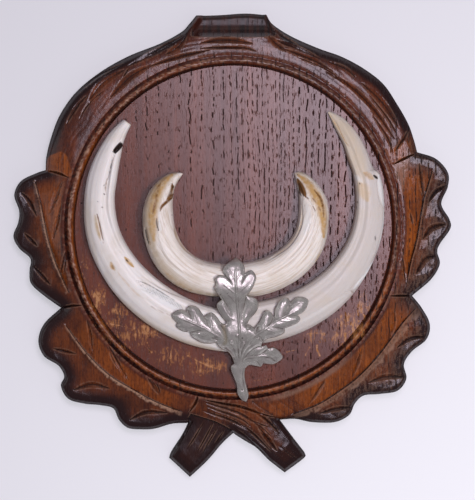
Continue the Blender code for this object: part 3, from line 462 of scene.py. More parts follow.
def carve(points, outline):
    """Height of the carved face over the back, and the marks that its colour follows."""
    profile = np.array(RING_PROFILE)
    offset = ring_offset(points)
    degrees = np.degrees(np.arctan2(points[:, 1], points[:, 0])) % 360
    edge = edge_distance(points, outline)
    outside = np.maximum(offset - STRIP_EDGE, 0)
    fall = outside / np.maximum(outside + edge, 0.01)
    ridge, cut, panel, flaked = rib_relief(points, outside)
    gouged = deepest(points, PANEL_VEINS + FINE_VEINS)
    veins = np.maximum(gouged, deepest(points, LOBE_VEINS + PARTINGS))
    bark = deepest(points, BRANCH_BARK + CROWN_BARK + STEM_BARK + FOOT_BARK)
    valley = deepest(points, LOBE_VEINS, LOBE_VALLEY_REACH) * LOBE_VALLEY / LOBE_VEIN_DEPTH
    foot = on_left_foot(points)
    branch = between(degrees, 24, 34, 150, 160)
    flatter = FLATTER_LEAF * ease(points[:, 0], 85, 110) * ease(points[:, 1], -50, -25)
    power = FALL_POWER + (BRANCH_POWER - FALL_POWER) * branch
    height = profile[-1, 1] - BORDER_FALL * (1 - flatter) * fall**power
    height = height - np.maximum(cut, np.maximum(veins, bark)) - EXTRA_VEIN * np.minimum(cut, gouged)
    height = height + ridge - valley * (1 - panel) * (offset > 0)
    height = np.minimum(height, crown_scoop(points)) - FOOT_DROP * np.clip(foot / FOOT_STEP, 0, 1)
    marks = tool_marks(points, offset, foot) * ease(edge, 0, 2) * ease(offset, STRIP_EDGE - 2, STRIP_EDGE)
    for line, drop, reach in END_FACETS:
        away, _, side = nearest(points, np.array(line, float))
        facet = (side < 0) & (points[:, 1] < -130) & (np.abs(points[:, 0] - line[0][0]) < 25)
        height = height - np.where(facet, drop * np.clip(away / reach, 0, 1), 0)
    bevel = read_off(degrees, BEVEL_WIDTHS)
    height = height - marks - BEVEL_DROP * np.clip(1 - edge / bevel, 0, 1) ** BEVEL_CURVE
    ring = read_off(offset, RING_PROFILE)
    worn_flat = np.interp(offset, (0, GROOVE_END), (profile[len(profile) // 2, 1], profile[-1, 1]))
    ring = np.where(offset > 0, worn_flat + (ring - worn_flat) * read_off(degrees, GROOVE_DEPTHS), ring)
    pitted = between(offset, -1.6, 0.2, 2.8, 3.4) * rough_noise(points, PIT_SIZE, PIT_SIZE, 61)
    height = np.where(offset < GROOVE_END, ring - PITTING * pitted, height)
    looks = {"panel": panel, "edge": edge, "offset": offset, "degrees": degrees, "bark": bark,
             "foot": foot, "bevel": bevel, "flaked": flaked}
    return height, looks


def hexagon_grid(low, high, step):
    rows = []
    for row, y in enumerate(np.arange(low[1], high[1], step * math.sin(math.radians(60)))):
        rows += [(x + row % 2 * step / 2, y) for x in np.arange(low[0], high[0], step)]
    return np.array(rows)


def keep_clear(spots, lines, distance):
    """The spots that lie further than a distance from every line."""
    for line in lines:
        close = np.all((spots > line.min(0) - distance) & (spots < line.max(0) + distance), axis=1)
        close[close] = nearest(spots[close], line)[0] < distance if close.any() else False
        spots = spots[~close]
    return spots


def plan_triangles(outline, lines, loops, spots):
    """Plan triangles inside an outline, with every line and loop kept as edges, as a bmesh."""
    points = [tuple(p) for p in outline]
    edges = []
    for line, is_loop in [(line, False) for line in lines] + [(loop, True) for loop in loops]:
        first = len(points)
        points += [tuple(p) for p in line]
        edges += [(first + i, first + i + 1) for i in range(len(line) - 1)]
        if is_loop:
            edges.append((first + len(line) - 1, first))
    points += [tuple(p) for p in spots]
    flat, _, triangles, _, _, _ = delaunay_2d_cdt(points, edges, [list(range(len(outline)))], 1, SNAP)
    plan = bmesh.new()
    verts = [plan.verts.new((x, y, 0)) for x, y in flat]
    for triangle in triangles:
        plan.faces.new([verts[i] for i in triangle])
    bmesh.ops.remove_doubles(plan, verts=plan.verts, dist=WELD)
    bmesh.ops.triangulate(plan, faces=plan.faces)
    flaps = {face for edge in plan.edges if len(edge.link_faces) > 2 for face in edge.link_faces
             if any(side.is_boundary for side in face.edges)}
    bmesh.ops.delete(plan, geom=list(flaps), context="FACES")
    loose = [vert for vert in plan.verts if not vert.link_faces]
    bmesh.ops.delete(plan, geom=loose, context="VERTS")
    packed = bpy.data.meshes.new("packed_plan")
    plan.to_mesh(packed)
    plan.clear()
    plan.from_mesh(packed)
    bpy.data.meshes.remove(packed)
    return plan


def plan_points(plan):
    return np.array([vert.co.xy for vert in plan.verts])


def hollows(plan, heights):
    """How far each point lies below the mean of its neighbours: above 0 in a groove, below 0 on a crest."""
    plan.verts.index_update()
    ends = np.array([(edge.verts[0].index, edge.verts[1].index) for edge in plan.edges])
    total, count = np.zeros(len(heights)), np.zeros(len(heights))
    for here, there in ((0, 1), (1, 0)):
        np.add.at(total, ends[:, here], heights[ends[:, there]])
        np.add.at(count, ends[:, here], 1)
    return total / count - heights


def store(mesh, name, values):
    mesh.attributes.new(name, "FLOAT", "POINT").data.foreach_set("value", np.asarray(values, np.float32))


def place_piece(name, mesh, material, node):
    """A finished piece, in millimetres, in place of its CAD node."""
    mesh.transform(Matrix.Scale(MM, 4))
    mesh.materials.clear()
    mesh.materials.append(material)
    piece = bpy.data.objects.new(name, mesh)
    bpy.context.scene.collection.objects.link(piece)
    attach(piece, "root")
    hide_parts(node)
    return piece


def board_plan(outline):
    """Plan triangles of the face: fine over the carving, loose in the field, with every tool line kept."""
    closed = np.vstack([outline, outline[:1]])
    lines = [line for stroke in STROKES for line in stroke_lines(stroke)]
    lines += [line for path in RIBS for line in rib_lines(path)]
    stem = smooth_path(STEM_EDGE, LINE_STEP)
    lines += [stem, beside(stem, -FOOT_STEP), smooth_path(FOOT_HEEL[:2], LINE_STEP)]
    kept = []
    for line in lines:
        use = inside(line, outline) & (nearest(line, closed)[0] > EDGE_CLEAR)
        use = use & (ring_offset(line) > BORDER_LINES)
        kept += [part for part in np.split(line, np.where(np.diff(use))[0] + 1) if len(part) > 1]
        kept = [part for part in kept if inside(part[:1], outline)[0]]
    kept = [part[(nearest(part, closed)[0] > EDGE_CLEAR) & (ring_offset(part) > BORDER_LINES)]
            for part in kept]
    kept = [part for part in kept if len(part) > 1]
    for path, half_width, _ in SCRATCHES:
        scratch = stroke_lines((path, half_width, 0))
        kept += [part for part in scratch if np.all(ring_offset(part) < FIELD_LINES)]
    loops = [ring_loop(offset) for offset, _ in RING_PROFILE] + [ring_loop(STRIP_EDGE)]
    fine = hexagon_grid(outline.min(0), outline.max(0), BORDER_GRID)
    fine = fine[ring_offset(fine) > STRIP_EDGE + LINE_CLEAR]
    fine = fine[inside(fine, outline)]
    fine = keep_clear(keep_clear(fine, [closed], EDGE_MARGIN), kept, LINE_CLEAR)
    worn = hexagon_grid((-100, -100), (100, WORN_TOP), WORN_GRID)
    worn = worn[(ring_offset(worn) < WORN_BAND[1]) & (ring_offset(worn) > WORN_BAND[0])]
    worn = keep_clear(worn, [line for line in kept if ring_offset(line[:1])[0] < 0], LINE_CLEAR)
    field = hexagon_grid((-100, -104), (100, 104), FIELD_GRID)
    loose = (field[:, 1] > WORN_TOP) | (ring_offset(field) < WORN_BAND[0])
    field = field[(ring_offset(field) < FIELD_EDGE) & loose]
    return plan_triangles(outline, kept, loops, np.vstack([fine, worn, field]))


def add_walls(plan, heights):
    """Sawn walls in rows down from the face, and the flat back."""
    for vert, height in zip(plan.verts, heights):
        vert.co.z = height
    rim = [edge for edge in plan.edges if edge.is_boundary]
    for row in range(WALL_ROWS):
        made = bmesh.ops.extrude_edge_only(plan, edges=rim)["geom"]
        rim = [item for item in made if isinstance(item, bmesh.types.BMEdge) and item.is_boundary]
        for vert in {vert for edge in rim for vert in edge.verts}:
            vert.co.z *= 1 - 1 / (WALL_ROWS - row)
    bmesh.ops.edgeloop_fill(plan, edges=rim)
    back = [face for face in plan.faces if len(face.verts) > 4]
    bmesh.ops.triangulate(plan, faces=back)
    bmesh.ops.recalc_face_normals(plan, faces=plan.faces)


def worn_through(points):
    """How far the stain is worn off, with ragged edges."""
    bare = np.zeros(len(points))
    for middle, reach, amount in WORN_PATCHES:
        away = np.linalg.norm((points - middle) / reach, axis=1)
        bare = np.maximum(bare, amount * ease(away, PATCH_REACH, PATCH_CORE))
    for path, half_width, amount in SCRATCHES:
        away, fraction, _ = nearest(points, smooth_path(path, LINE_STEP))
        reach = half_width * (SCRATCH_WIDTH + taper(fraction))
        bare = np.maximum(bare, SCRATCH_STRENGTH * amount * ease(away, reach, 0))
    return bare


def is_link(value):
    return isinstance(value, bpy.types.NodeSocket)


def connect(tree, node, sockets):
    """Set or link the sockets of a node."""
    for key, value in sockets.items():
        if is_link(value):
            tree.links.new(value, node.inputs[key])
        else:
            node.inputs[key].default_value = value


def add_node(tree, kind, sockets=None, output=0, **settings):
    """A node with its sockets set or linked; returns one of its outputs."""
    made = tree.nodes.new(kind)
    for key, value in settings.items():
        setattr(made, key, value)
    connect(tree, made, sockets or {})
    return made.outputs[output]


def arith(tree, operation, first, second=0.0, *more, clamp=False):
    """An operation on two values, and then on the result and each value that follows."""
    made = add_node(tree, "ShaderNodeMath", {0: first, 1: second}, operation=operation, use_clamp=clamp)
    return arith(tree, operation, made, *more) if more else made


def times(tree, *values):
    return arith(tree, "MULTIPLY", *values)


def plus(tree, *values):
    return arith(tree, "ADD", *values)


def minus(tree, *values):
    return arith(tree, "SUBTRACT", *values)


def attribute(tree, name):
    return add_node(tree, "ShaderNodeAttribute", output=2, attribute_name=name)


def blend(tree, amount, first, second):
    """A colour between two: each is a colour or a link."""
    first, second = [value if is_link(value) else (*value, 1.0) for value in (first, second)]
    return add_node(tree, "ShaderNodeMix", {0: amount, 6: first, 7: second}, output=2, data_type="RGBA")


def layered(tree, colour, layers):
    """A colour with others laid over it in turn: each by an amount, or by an attribute's name."""
    for amount, over in layers:
        amount = attribute(tree, amount) if isinstance(amount, str) else amount
        colour = blend(tree, amount, colour, over)
    return colour


def grade(tree, value, low, high, to_low=0.0, to_high=1.0):
    """A value spread smoothly from one range to another, and held at its ends."""
    sockets = {"Value": value, "From Min": low, "From Max": high, "To Min": to_low, "To Max": to_high}
    return add_node(tree, "ShaderNodeMapRange", sockets, interpolation_type="SMOOTHSTEP")


def stretched_noise(tree, place, scale, detail=2.0, roughness=0.5):
    """Noise with its own scale, per metre, along each axis."""
    moved = add_node(tree, "ShaderNodeMapping", {"Vector": place, "Scale": scale})
    settings = {"Vector": moved, "Scale": 1.0, "Detail": detail, "Roughness": roughness}
    return add_node(tree, "ShaderNodeTexNoise", settings)


def grid_noise(tree, across, step, along, scale):
    """Noise that runs along one axis and differs from column to column."""
    place = {"X": times(tree, across, step), "Y": times(tree, along, scale)}
    place = add_node(tree, "ShaderNodeCombineXYZ", place)
    return add_node(tree, "ShaderNodeTexNoise", {"Vector": place, "Scale": 1.0, "Detail": 1.0})


def bumped(tree, height, strength, distance):
    return add_node(tree, "ShaderNodeBump", {"Height": height, "Strength": strength, "Distance": distance})


def new_material(name):
    material = bpy.data.materials.new(name)
    material.use_nodes = True
    return material, material.node_tree, material.node_tree.nodes["Principled BSDF"]


# Colours of the stained and varnished oak, as linear light.
OAK_DARK, OAK_RED = (0.060, 0.014, 0.008), (0.160, 0.038, 0.016)
AMBER_DARK, AMBER = (0.12, 0.026, 0.006), (0.29, 0.072, 0.009)
TONER, PORE = (0.015, 0.0045, 0.0045), (0.008, 0.004, 0.004)
BARE_OAK, BARE_OAK_LIGHT = (0.27, 0.10, 0.028), (0.48, 0.23, 0.085)
# The pale colour is laid on for rubbed wear, and also as painted highlight and painted sheen.
PALE_WEAR_AND_SHEEN, TOOLED = (0.38, 0.22, 0.15), (0.20, 0.065, 0.025)
VARNISH_IOR = 1.58
# Noises of the grain and of the tool marks, by scale across, along and through the board, per metre.
SWAY_SCALE, SWAY = (30, 9, 9), 0.006             # the grain wanders this far, in metres
BANDS_SCALE, FIBRES_SCALE, GRIT_SCALE = (120, 4, 20), (1100, 38, 120), (2600, 800, 400)
FEW_PORES_SCALE, DAPPLE_SCALE = (1500, 190, 200), (850, 420, 400)
MOTTLE_SCALE, PATCHY_SCALE = (800, 170, 200), (300, 230, 200)
PORE_COLUMNS, COLUMNS_TO_RIGHT = 150.0, 100.0    # columns of pores in a metre, and more to the right
PORE_MIDDLE, PORE_SHAKE = 0.25, 0.6              # where a pore lies in its column
OAK_BUMP = 0.00007


def oak_pores(tree, bent):
    """How much of a pore is at a place: dashes in columns that bend with the grain."""
    axes = add_node(tree, "ShaderNodeSeparateXYZ", {0: bent}).node.outputs
    across, along = axes["X"], axes["Y"]
    crowd = grade(tree, across, -0.005, 0.045, 0.0, 6.0)
    spread = times(tree, arith(tree, "MAXIMUM", minus(tree, across, 0.025), 0.0), COLUMNS_TO_RIGHT)
    count = plus(tree, times(tree, across, PORE_COLUMNS), plus(tree, crowd, spread))
    column = arith(tree, "FLOOR", count)
    width = grade(tree, across, -0.012, 0.02, 0.075, 0.125)
    shake = times(tree, grid_noise(tree, column, 3.1, along, 90.0), PORE_SHAKE)
    off = minus(tree, minus(tree, count, column), plus(tree, PORE_MIDDLE, shake))
    narrow = arith(tree, "DIVIDE", arith(tree, "ABSOLUTE", off), width)
    slant = plus(tree, across, times(tree, along, 0.7))
    reach = grade(tree, slant, -0.09, 0.05, 0.16, 0.0)
    strength = times(tree, minus(tree, grid_noise(tree, column, 5.3, along, 22.0), 0.5), 0.22)
    dash = minus(tree, grid_noise(tree, column, 7.7, along, 230.0), reach)
    dash = grade(tree, plus(tree, dash, strength), 0.46, 0.56)
    dashes = times(tree, dash, grade(tree, narrow, 0.45, 1.0, 1.0, 0.0))
    few = grade(tree, stretched_noise(tree, bent, FEW_PORES_SCALE, 1.0), 0.60, 0.70)
    pores = arith(tree, "MAXIMUM", dashes, times(tree, few, 0.5))
    few_carved = grade(tree, across, 0.085, 0.105, 0.3, 0.9)
    return times(tree, pores, grade(tree, attribute(tree, "carved"), 0.0, 1.0, 1.0, few_carved))


def oak_material():
    """Stain in streaks along the grain, pores in columns, darker edges, amber cuts and worn places; painted
    shade in the creases, painted highlight on crests and painted sheen in pale patches.
    """
    material, tree, shader = new_material("stained oak")
    place = add_node(tree, "ShaderNodeTexCoord", output=3)
    sway = times(tree, stretched_noise(tree, place, SWAY_SCALE, 1.0), SWAY)
    shift = add_node(tree, "ShaderNodeCombineXYZ", {"X": sway})
    bent = add_node(tree, "ShaderNodeVectorMath", {0: place, 1: shift}, operation="ADD")
    bands = stretched_noise(tree, bent, BANDS_SCALE, 3.0, 0.6)
    fibres = stretched_noise(tree, bent, FIBRES_SCALE, 3.0, 0.65)
    grit = stretched_noise(tree, bent, GRIT_SCALE, 2.0, 0.6)
    dapple = stretched_noise(tree, place, DAPPLE_SCALE, 3.0, 0.7)
    mottle = stretched_noise(tree, place, MOTTLE_SCALE, 4.0, 0.7)
    patchy = stretched_noise(tree, place, PATCHY_SCALE, 3.0, 0.6)
    pores = oak_pores(tree, bent)
    carved = attribute(tree, "carved")
    tooled = times(tree, carved, dapple)
    worn = times(tree, attribute(tree, "bare"), grade(tree, mottle, 0.38, 0.62, 0.15, 1.8))
    worn = times(tree, worn, grade(tree, patchy, 0.42, 0.58, 0.45, 1.25))
    rubbed = times(tree, grade(tree, worn, 0.2, 0.55), 0.8)
    bare = times(tree, grade(tree, worn, 0.6, 1.0), 0.5)
    stain = blend(tree, grade(tree, bands, 0.15, 0.85), OAK_DARK, OAK_RED)
    # The last layers are the pale colour (wear, painted highlight and painted sheen) and the painted shade in
    # the creases.
    colour = layered(tree, stain, (
        (grade(tree, fibres, 0.35, 0.75, 0.0, 0.45), OAK_DARK),
        (grade(tree, grit, 0.32, 0.55, 0.55, 0.0), OAK_DARK),
        ("amber", blend(tree, grade(tree, fibres, 0.30, 0.70), AMBER, AMBER_DARK)),
        (grade(tree, tooled, 0.50, 0.72, 0.0, 0.4), TOOLED),
        (times(tree, carved, grade(tree, dapple, 0.34, 0.5, 0.45, 0.0)), TONER),
        ("toner", TONER), (times(tree, pores, 0.95), PORE),
        (rubbed, BARE_OAK), (bare, BARE_OAK_LIGHT), ("crest", PALE_WEAR_AND_SHEEN), ("crease_shade_and_streaks", PORE)))
    rough = plus(tree, times(tree, pores, 0.8), times(tree, bare, 0.15),
                 times(tree, attribute(tree, "dull"), 0.5), grade(tree, fibres, 0.3, 0.7, 0.19, 0.24))
    relief = plus(tree, minus(tree, times(tree, fibres, 0.35), pores), times(tree, tooled, 1.6))
    connect(tree, shader, {"Base Color": colour, "IOR": VARNISH_IOR, "Roughness": rough,
                           "Normal": bumped(tree, relief, 0.6, OAK_BUMP)})
    return material


outline = closed_outline(SHIELD, OUTLINE_STEP)
plan = board_plan(outline)
flat = plan_points(plan)
heights, looks = carve(flat, outline)
crease = hollows(plan, heights)
add_walls(plan, heights)
board_mesh = bpy.data.meshes.new("shield_board_oak")
plan.to_mesh(board_mesh)
plan.free()
extra = len(board_mesh.vertices) - len(flat)

# Where the colours change: each region is 1 inside and 0 outside, with soft edges.
x, y = flat.T
edge, offset, degrees, panel = looks["edge"], looks["offset"], looks["degrees"], looks["panel"]
left_foot = looks["foot"] > 0
right_foot_end = ease(x - y, 161, 166) * (np.abs(x - 25) < 15) * (y < -120)
lobes = ease(offset, STRIP_EDGE, STRIP_EDGE + 2) * (1 - panel)
branches = between(degrees, 24, 30, 154, 160)
stems = ease(y, -106, -110) * ease(np.abs(x - 3), 34, 24)
border = ease(offset, GROOVE_END, 5.5)
bead = between(offset, -1.9, -1.2, 0.7, 1.3)
inner_groove = ease(offset, -3.6, -3.1) * ease(offset - read_off(degrees, INNER_GROOVE_ENDS), 0.1, -0.5)
outer_groove = between(offset, -0.1, 0.9, 2.9, 3.3) * read_off(degrees, GROOVE_DEPTHS) ** 0.5
left_side = between(degrees, 138, 152, 214, 226)
foot_side = between(degrees, 205, 235, 335, 352)
upper_right = ease(degrees, 112, 85) + ease(degrees, 335, 352)
left_stub = smooth_path(LEFT_STUB, CURVE_STEP)
left_stub = inside(flat, left_stub) * ease(nearest(flat, left_stub)[0], 0, 0.8) * ease(degrees, 163.6, 163.0)
stubs = np.maximum(between(degrees, 21.2, 22, 25.5, 27.5), left_stub)
right_stub = stubs * ease(x, 104, 112)
notch = ease(np.hypot(x - 30, 1.6 * (y + 113)), 11, 5)
cove = ease(y, 116, 119) * ease(np.abs(x) - read_off(y, CROWN_HALVES), 1, -3)
# Two wedges beside the ring are painted pale, with less amber and toner: a painted sheen.
lower_sheen_wedge = between(offset, GROOVE_END, 3.8, 5.5, 7.5) * between(degrees, 279, 286, 304, 316)
upper_sheen_wedge = ease(x - read_off(y, UPPER_SHEEN_WEDGE_EDGE), 1, -1.5) * ease(y, 15, 22)
upper_sheen_wedge = upper_sheen_wedge * ease(offset, GROOVE_END, 3.8)
sheen_wedges = np.maximum(lower_sheen_wedge, upper_sheen_wedge * (degrees < 21.4) * (x > 0))
# The right lobes get pale streaks of painted sheen.
sheen_streaked_right_lobes = lobes * ease(x, 40, 80) * ease(edge, 0.8, 3.5) * (1 - branches) * (1 - stems)
inner = ease(edge, 1.0, 2.2) * ease(np.abs(edge - looks["bevel"]), 0.6, 1.6)

# Amber: cuts through the stain.
amber = np.max([
    panel * (0.75 + 0.25 * ease(x, -60, 60)), inner_groove * (0.3 + 0.6 * left_side),
    bead * (0.3 + 0.7 * foot_side - 0.2 * upper_right), 0.6 * stems * ~left_foot,
    np.clip(looks["bark"] * 0.5, 0, 0.6 - 0.25 * branches) * border,
    0.45 * lobes * ease(edge, 4, 12) * (1 - branches), stubs * border, 0.75 * notch], axis=0)
# Less amber on the wedges that are painted pale as sheen.
amber = amber * (1 - 0.85 * sheen_wedges)

# Toner: the dark shading towards the edges, in clouds, in the grooves and on the cut ends.
toner = (0.32 + 0.8 * ease(edge, 12, 2.5)) * (1 - 0.92 * panel) * (1 - branches)
toner = np.maximum(np.clip(toner, 0, 1), ease(edge, 7, 4) * branches)
clouds = ease(rough_noise(flat, 9, 16, 75), 0.42, 0.72) * (1 - 0.4 * panel)
toner = toner + (1 - toner) * 0.5 * clouds
toner = toner * border * (1 - 0.8 * stubs) + 0.6 * right_stub
toner = np.max([
    toner, 0.95 * outer_groove * ease(rough_noise(flat, 1.5, 1.5, 71), 0.75, 0.35),
    inner_groove * (0.75 - 0.55 * left_side), bead * 0.5 * upper_right,
    0.93 * left_foot, 0.93 * right_foot_end], axis=0)
cove_streaks = ease(rough_noise(flat, 1.1, 30, 83), 0.42, 0.62)
toner = toner * (1 - 0.8 * notch)
# Less toner on the wedges that are painted pale as sheen.
toner = np.maximum(toner * (1 - cove), cove * (0.8 + 0.2 * cove_streaks)) * (1 - 0.6 * sheen_wedges)

# Painted shade darkens the creases, and dark streaks run down the cove. Crests are paler: partly rubbed wear,
# partly painted highlight.
# Painted shade: the further a point lies below its neighbours, the darker it is coloured.
crease_shade_and_streaks = np.clip(crease * 5, 0, 0.9) * np.where(offset < GROOVE_END, 0.6, 1)
crease_shade_and_streaks = crease_shade_and_streaks * (1 - cove) + 0.6 * cove * cove_streaks * ease(y, 118, 122)
flakes = ease(rough_noise(flat, 0.9, 2.4, 95), 0.26, 0.42)
strokes = ease(rough_noise(flat, 0.55, 2.6, 97), 0.42, 0.66)
specks = ease(rough_noise(flat, 0.9, 0.9, 91), 0.42, 0.68)
# Crests of the carving are paler: rubbed wear and painted highlight. The flakes by the ribs and the specks on
# the bead are wear.
crest = np.max([
    np.clip(-crease * 3 - 0.2, 0, 0.25) * inner * (offset > GROOVE_END),
    looks["flaked"] * (1 - 0.6 * ease(x, -20, 40)) * flakes, 0.3 * sheen_wedges, 0.17 * sheen_streaked_right_lobes * strokes,
    bead * (0.75 - 0.35 * upper_right - 0.45 * foot_side) * specks], axis=0)
dull = np.max([0.1 * left_foot, 0.3 * cove * ease(y, 122, 126), 1.2 * ease(edge, 1.5, 0.4)], axis=0)
marks = {"amber": amber, "toner": toner, "crease_shade_and_streaks": crease_shade_and_streaks, "crest": crest, "bare": worn_through(flat),
         "carved": border, "dull": dull}
WALL_MARKS = {"amber": 0.0, "toner": 0.85, "crease_shade_and_streaks": 0.0, "crest": 0.0, "bare": 0.0, "carved": 1.0, "dull": 0.5}
for name, values in marks.items():
    store(board_mesh, name, np.concatenate([values, np.full(extra, WALL_MARKS[name])]))
board_mesh.shade_smooth()
board_mesh.set_sharp_from_angle(angle=SHARP_CARVING)
place_piece("carved_oak_shield", board_mesh, oak_material(), "shield_board")

# ------------------------------------------------------------------------------ Lower tusks
# The two large lower canines of a boar, real teeth, three-sided with a bevel on their inner edge.
# The left one has a blunt cut tip, the right one a pointed worn tip. They are screwed on from behind.

TUSK_CENTRE = (1.7, 16.8)                        # the middle of the crescents
LOWER_SECTION = [
    (-0.45, 0), (-0.85, 0.1), (-1, 0.34), (-0.97, 0.62), (-0.84, 0.86), (-0.66, 0.97), (-0.4, 0.95),
    (-0.05, 1), (0.35, 0.93), (0.68, 0.75), (0.92, 0.52), (1, 0.3), (0.88, 0.08), (0.5, 0)]
# Stations along a tusk, root first: degrees from straight down, inner radius, outer radius, depth.
LOWER_LEFT = [
    (-1.5, 67.7, 93.7, 14), (-15, 67.7, 93.7, 14), (-30, 67.7, 93.8, 14), (-45, 68.8, 94.2, 14),
    (-60, 71.3, 94.7, 13.5), (-75, 73.8, 94.9, 13), (-90, 74.7, 93.5, 12), (-100, 74.4, 92.3, 11),
    (-110, 75.7, 90.1, 9.5), (-118, 78, 88.2, 7.5), (-125.5, 79.5, 85.2, 5)]
LOWER_RIGHT = [
    (1.5, 63.5, 89.8, 14), (15, 64.2, 90.2, 14), (30, 66.1, 91.3, 14), (45, 68.6, 92.5, 14),
    (60, 71.3, 92.6, 13.5), (75, 73.2, 92.5, 13), (90, 73.5, 91.3, 12), (100, 73.5, 90.1, 11),
    (103.5, 73.6, 86.8, 10.5), (110, 73.2, 86.2, 9), (118, 74.3, 85.4, 7.2), (125.5, 75.2, 83.8, 5.2),
    (130.5, 76.8, 81.6, 3.6), (133.5, 78, 79.6, 2.4)]
TUSK_ROWS, TUSK_AROUND, CAP_ROWS = 520, 112, 8
LARGEST_RADIUS, LARGEST_DEPTH = 100.0, 20.0      # what the curves of radius and depth are shares of
END_ROUNDING, END_HEIGHT = 0.7, 0.4              # how the ends close, and at which share of the depth
LINE_SCALE, TUSK_WELD = 0.55, 0.01
CUT_SOFT, PAINT_SOFT, RAG_SIZE = 1.0, 0.8, 1.6
IVORY_MARKS = ("dark", "brown", "tan", "cream", "enamel")


def curve_node(tree, value, points):
    """A float curve through (place, height) points, both from 0 to 1."""
    made = tree.nodes.new("ShaderNodeFloatCurve")
    curve = made.mapping.curves[0]
    while len(curve.points) < len(points):
        curve.points.new(0.5, 0.5)
    for point, place in zip(curve.points, sorted(points)):
        point.location = place
        point.handle_type = "AUTO"
    made.mapping.update()
    tree.links.new(value, made.inputs["Value"])
    return made.outputs[0]


def station_curve(tree, along, stations, column, scale):
    last = len(stations) - 1
    points = [(index / last, abs(station[column]) / scale) for index, station in enumerate(stations)]
    return times(tree, curve_node(tree, along, points), scale)


def mesh_places(tree):
    position = add_node(tree, "GeometryNodeInputPosition")
    return add_node(tree, "ShaderNodeSeparateXYZ", {0: position}).node.outputs


def tusk_tree(name, stations, section, side):
    """Geometry nodes for one tusk: rows of a section that changes along a crescent, with growth lines."""
    tree = bpy.data.node_groups.new(name, "GeometryNodeTree")
    inputs = {"Rows": "Int", "Points around": "Int", "Line depth": "Float", "Line length": "Float",
              "Seed": "Float", "Ivory": "Material"}
    for label, kind in inputs.items():
        tree.interface.new_socket(label, in_out="INPUT", socket_type="NodeSocket" + kind)
    tree.interface.new_socket("Geometry", in_out="OUTPUT", socket_type="NodeSocketGeometry")
    given = tree.nodes.new("NodeGroupInput").outputs
    rows = {"Size X": 1.0, "Size Y": 1.0, "Vertices X": given["Rows"], "Vertices Y": given["Points around"]}
    sheet = add_node(tree, "GeometryNodeMeshGrid", rows)
    place = mesh_places(tree)
    row = plus(tree, place["X"], 0.5)
    share = plus(tree, place["Y"], 0.5)
    cap = CAP_ROWS / TUSK_ROWS
    along = arith(tree, "DIVIDE", minus(tree, row, cap), 1 - 2 * cap, clamp=True)
    to_end = arith(tree, "MINIMUM", row, minus(tree, 1.0, row))
    shrink = arith(tree, "POWER", arith(tree, "DIVIDE", to_end, cap, clamp=True), END_ROUNDING)
    turn = times(tree, station_curve(tree, along, stations, 0, 180.0), side * math.pi / 180)
    inner = station_curve(tree, along, stations, 1, LARGEST_RADIUS)
    outer = station_curve(tree, along, stations, 2, LARGEST_RADIUS)
    depth = station_curve(tree, along, stations, 3, LARGEST_DEPTH)
    closed = section + section[:1]
    places = [index / len(section) for index in range(len(closed))]
    across = curve_node(tree, share, [(at, (point[0] + 1) / 2) for at, point in zip(places, closed)])
    across = minus(tree, times(tree, across, 2.0), 1.0)
    up = curve_node(tree, share, [(at, point[1]) for at, point in zip(places, closed)])
    up = plus(tree, END_HEIGHT, times(tree, minus(tree, up, END_HEIGHT), shrink))
    half = times(tree, minus(tree, outer, inner), 0.5)
    middle = times(tree, plus(tree, outer, inner), 0.5)
    radius = plus(tree, middle, times(tree, half, across, shrink))
    x = plus(tree, TUSK_CENTRE[0], times(tree, radius, arith(tree, "SINE", turn)))
    y = minus(tree, TUSK_CENTRE[1], times(tree, radius, arith(tree, "COSINE", turn)))
    z = plus(tree, FIELD_Z + TUSK_GAP, times(tree, depth, up))
    spot = add_node(tree, "ShaderNodeCombineXYZ", {"X": x, "Y": y, "Z": z})
    sheet = add_node(tree, "GeometryNodeSetPosition", {"Geometry": sheet, "Position": spot})
    sheet = add_node(tree, "GeometryNodeMergeByDistance", {"Geometry": sheet, "Distance": TUSK_WELD})
    place = mesh_places(tree)
    east = minus(tree, place["X"], TUSK_CENTRE[0])
    south = minus(tree, TUSK_CENTRE[1], place["Y"])
    distance = arith(tree, "SQRT", plus(tree, times(tree, east, east), times(tree, south, south)))
    arc = times(tree, arith(tree, "ARCTAN2", east, south), sum(stations[0][1:3]) / 2)
    lines = {"X": arith(tree, "DIVIDE", arc, given["Line length"]), "Y": distance, "Z": place["Z"]}
    lines = add_node(tree, "ShaderNodeCombineXYZ", lines)
    grain = {"Vector": lines, "W": given["Seed"], "Scale": LINE_SCALE, "Detail": 2.0}
    grain = add_node(tree, "ShaderNodeTexNoise", grain, noise_dimensions="4D")
    lift = {0: add_node(tree, "GeometryNodeInputNormal"),
            "Scale": times(tree, minus(tree, grain, 0.5), given["Line depth"])}
    lift = add_node(tree, "ShaderNodeVectorMath", lift, operation="SCALE")
    sheet = add_node(tree, "GeometryNodeSetPosition", {"Geometry": sheet, "Offset": lift})
    for label, value in (("arc", arc), ("distance", distance)):
        kept = {"Geometry": sheet, "Name": label, "Value": value}
        sheet = add_node(tree, "GeometryNodeStoreNamedAttribute", kept, data_type="FLOAT", domain="POINT")
    sheet = add_node(tree, "GeometryNodeRealizeInstances", {"Geometry": sheet})
    sheet = add_node(tree, "GeometryNodeSetMaterial", {"Geometry": sheet, "Material": given["Ivory"]})
    tree.links.new(sheet, tree.nodes.new("NodeGroupOutput").inputs[0])
    return tree


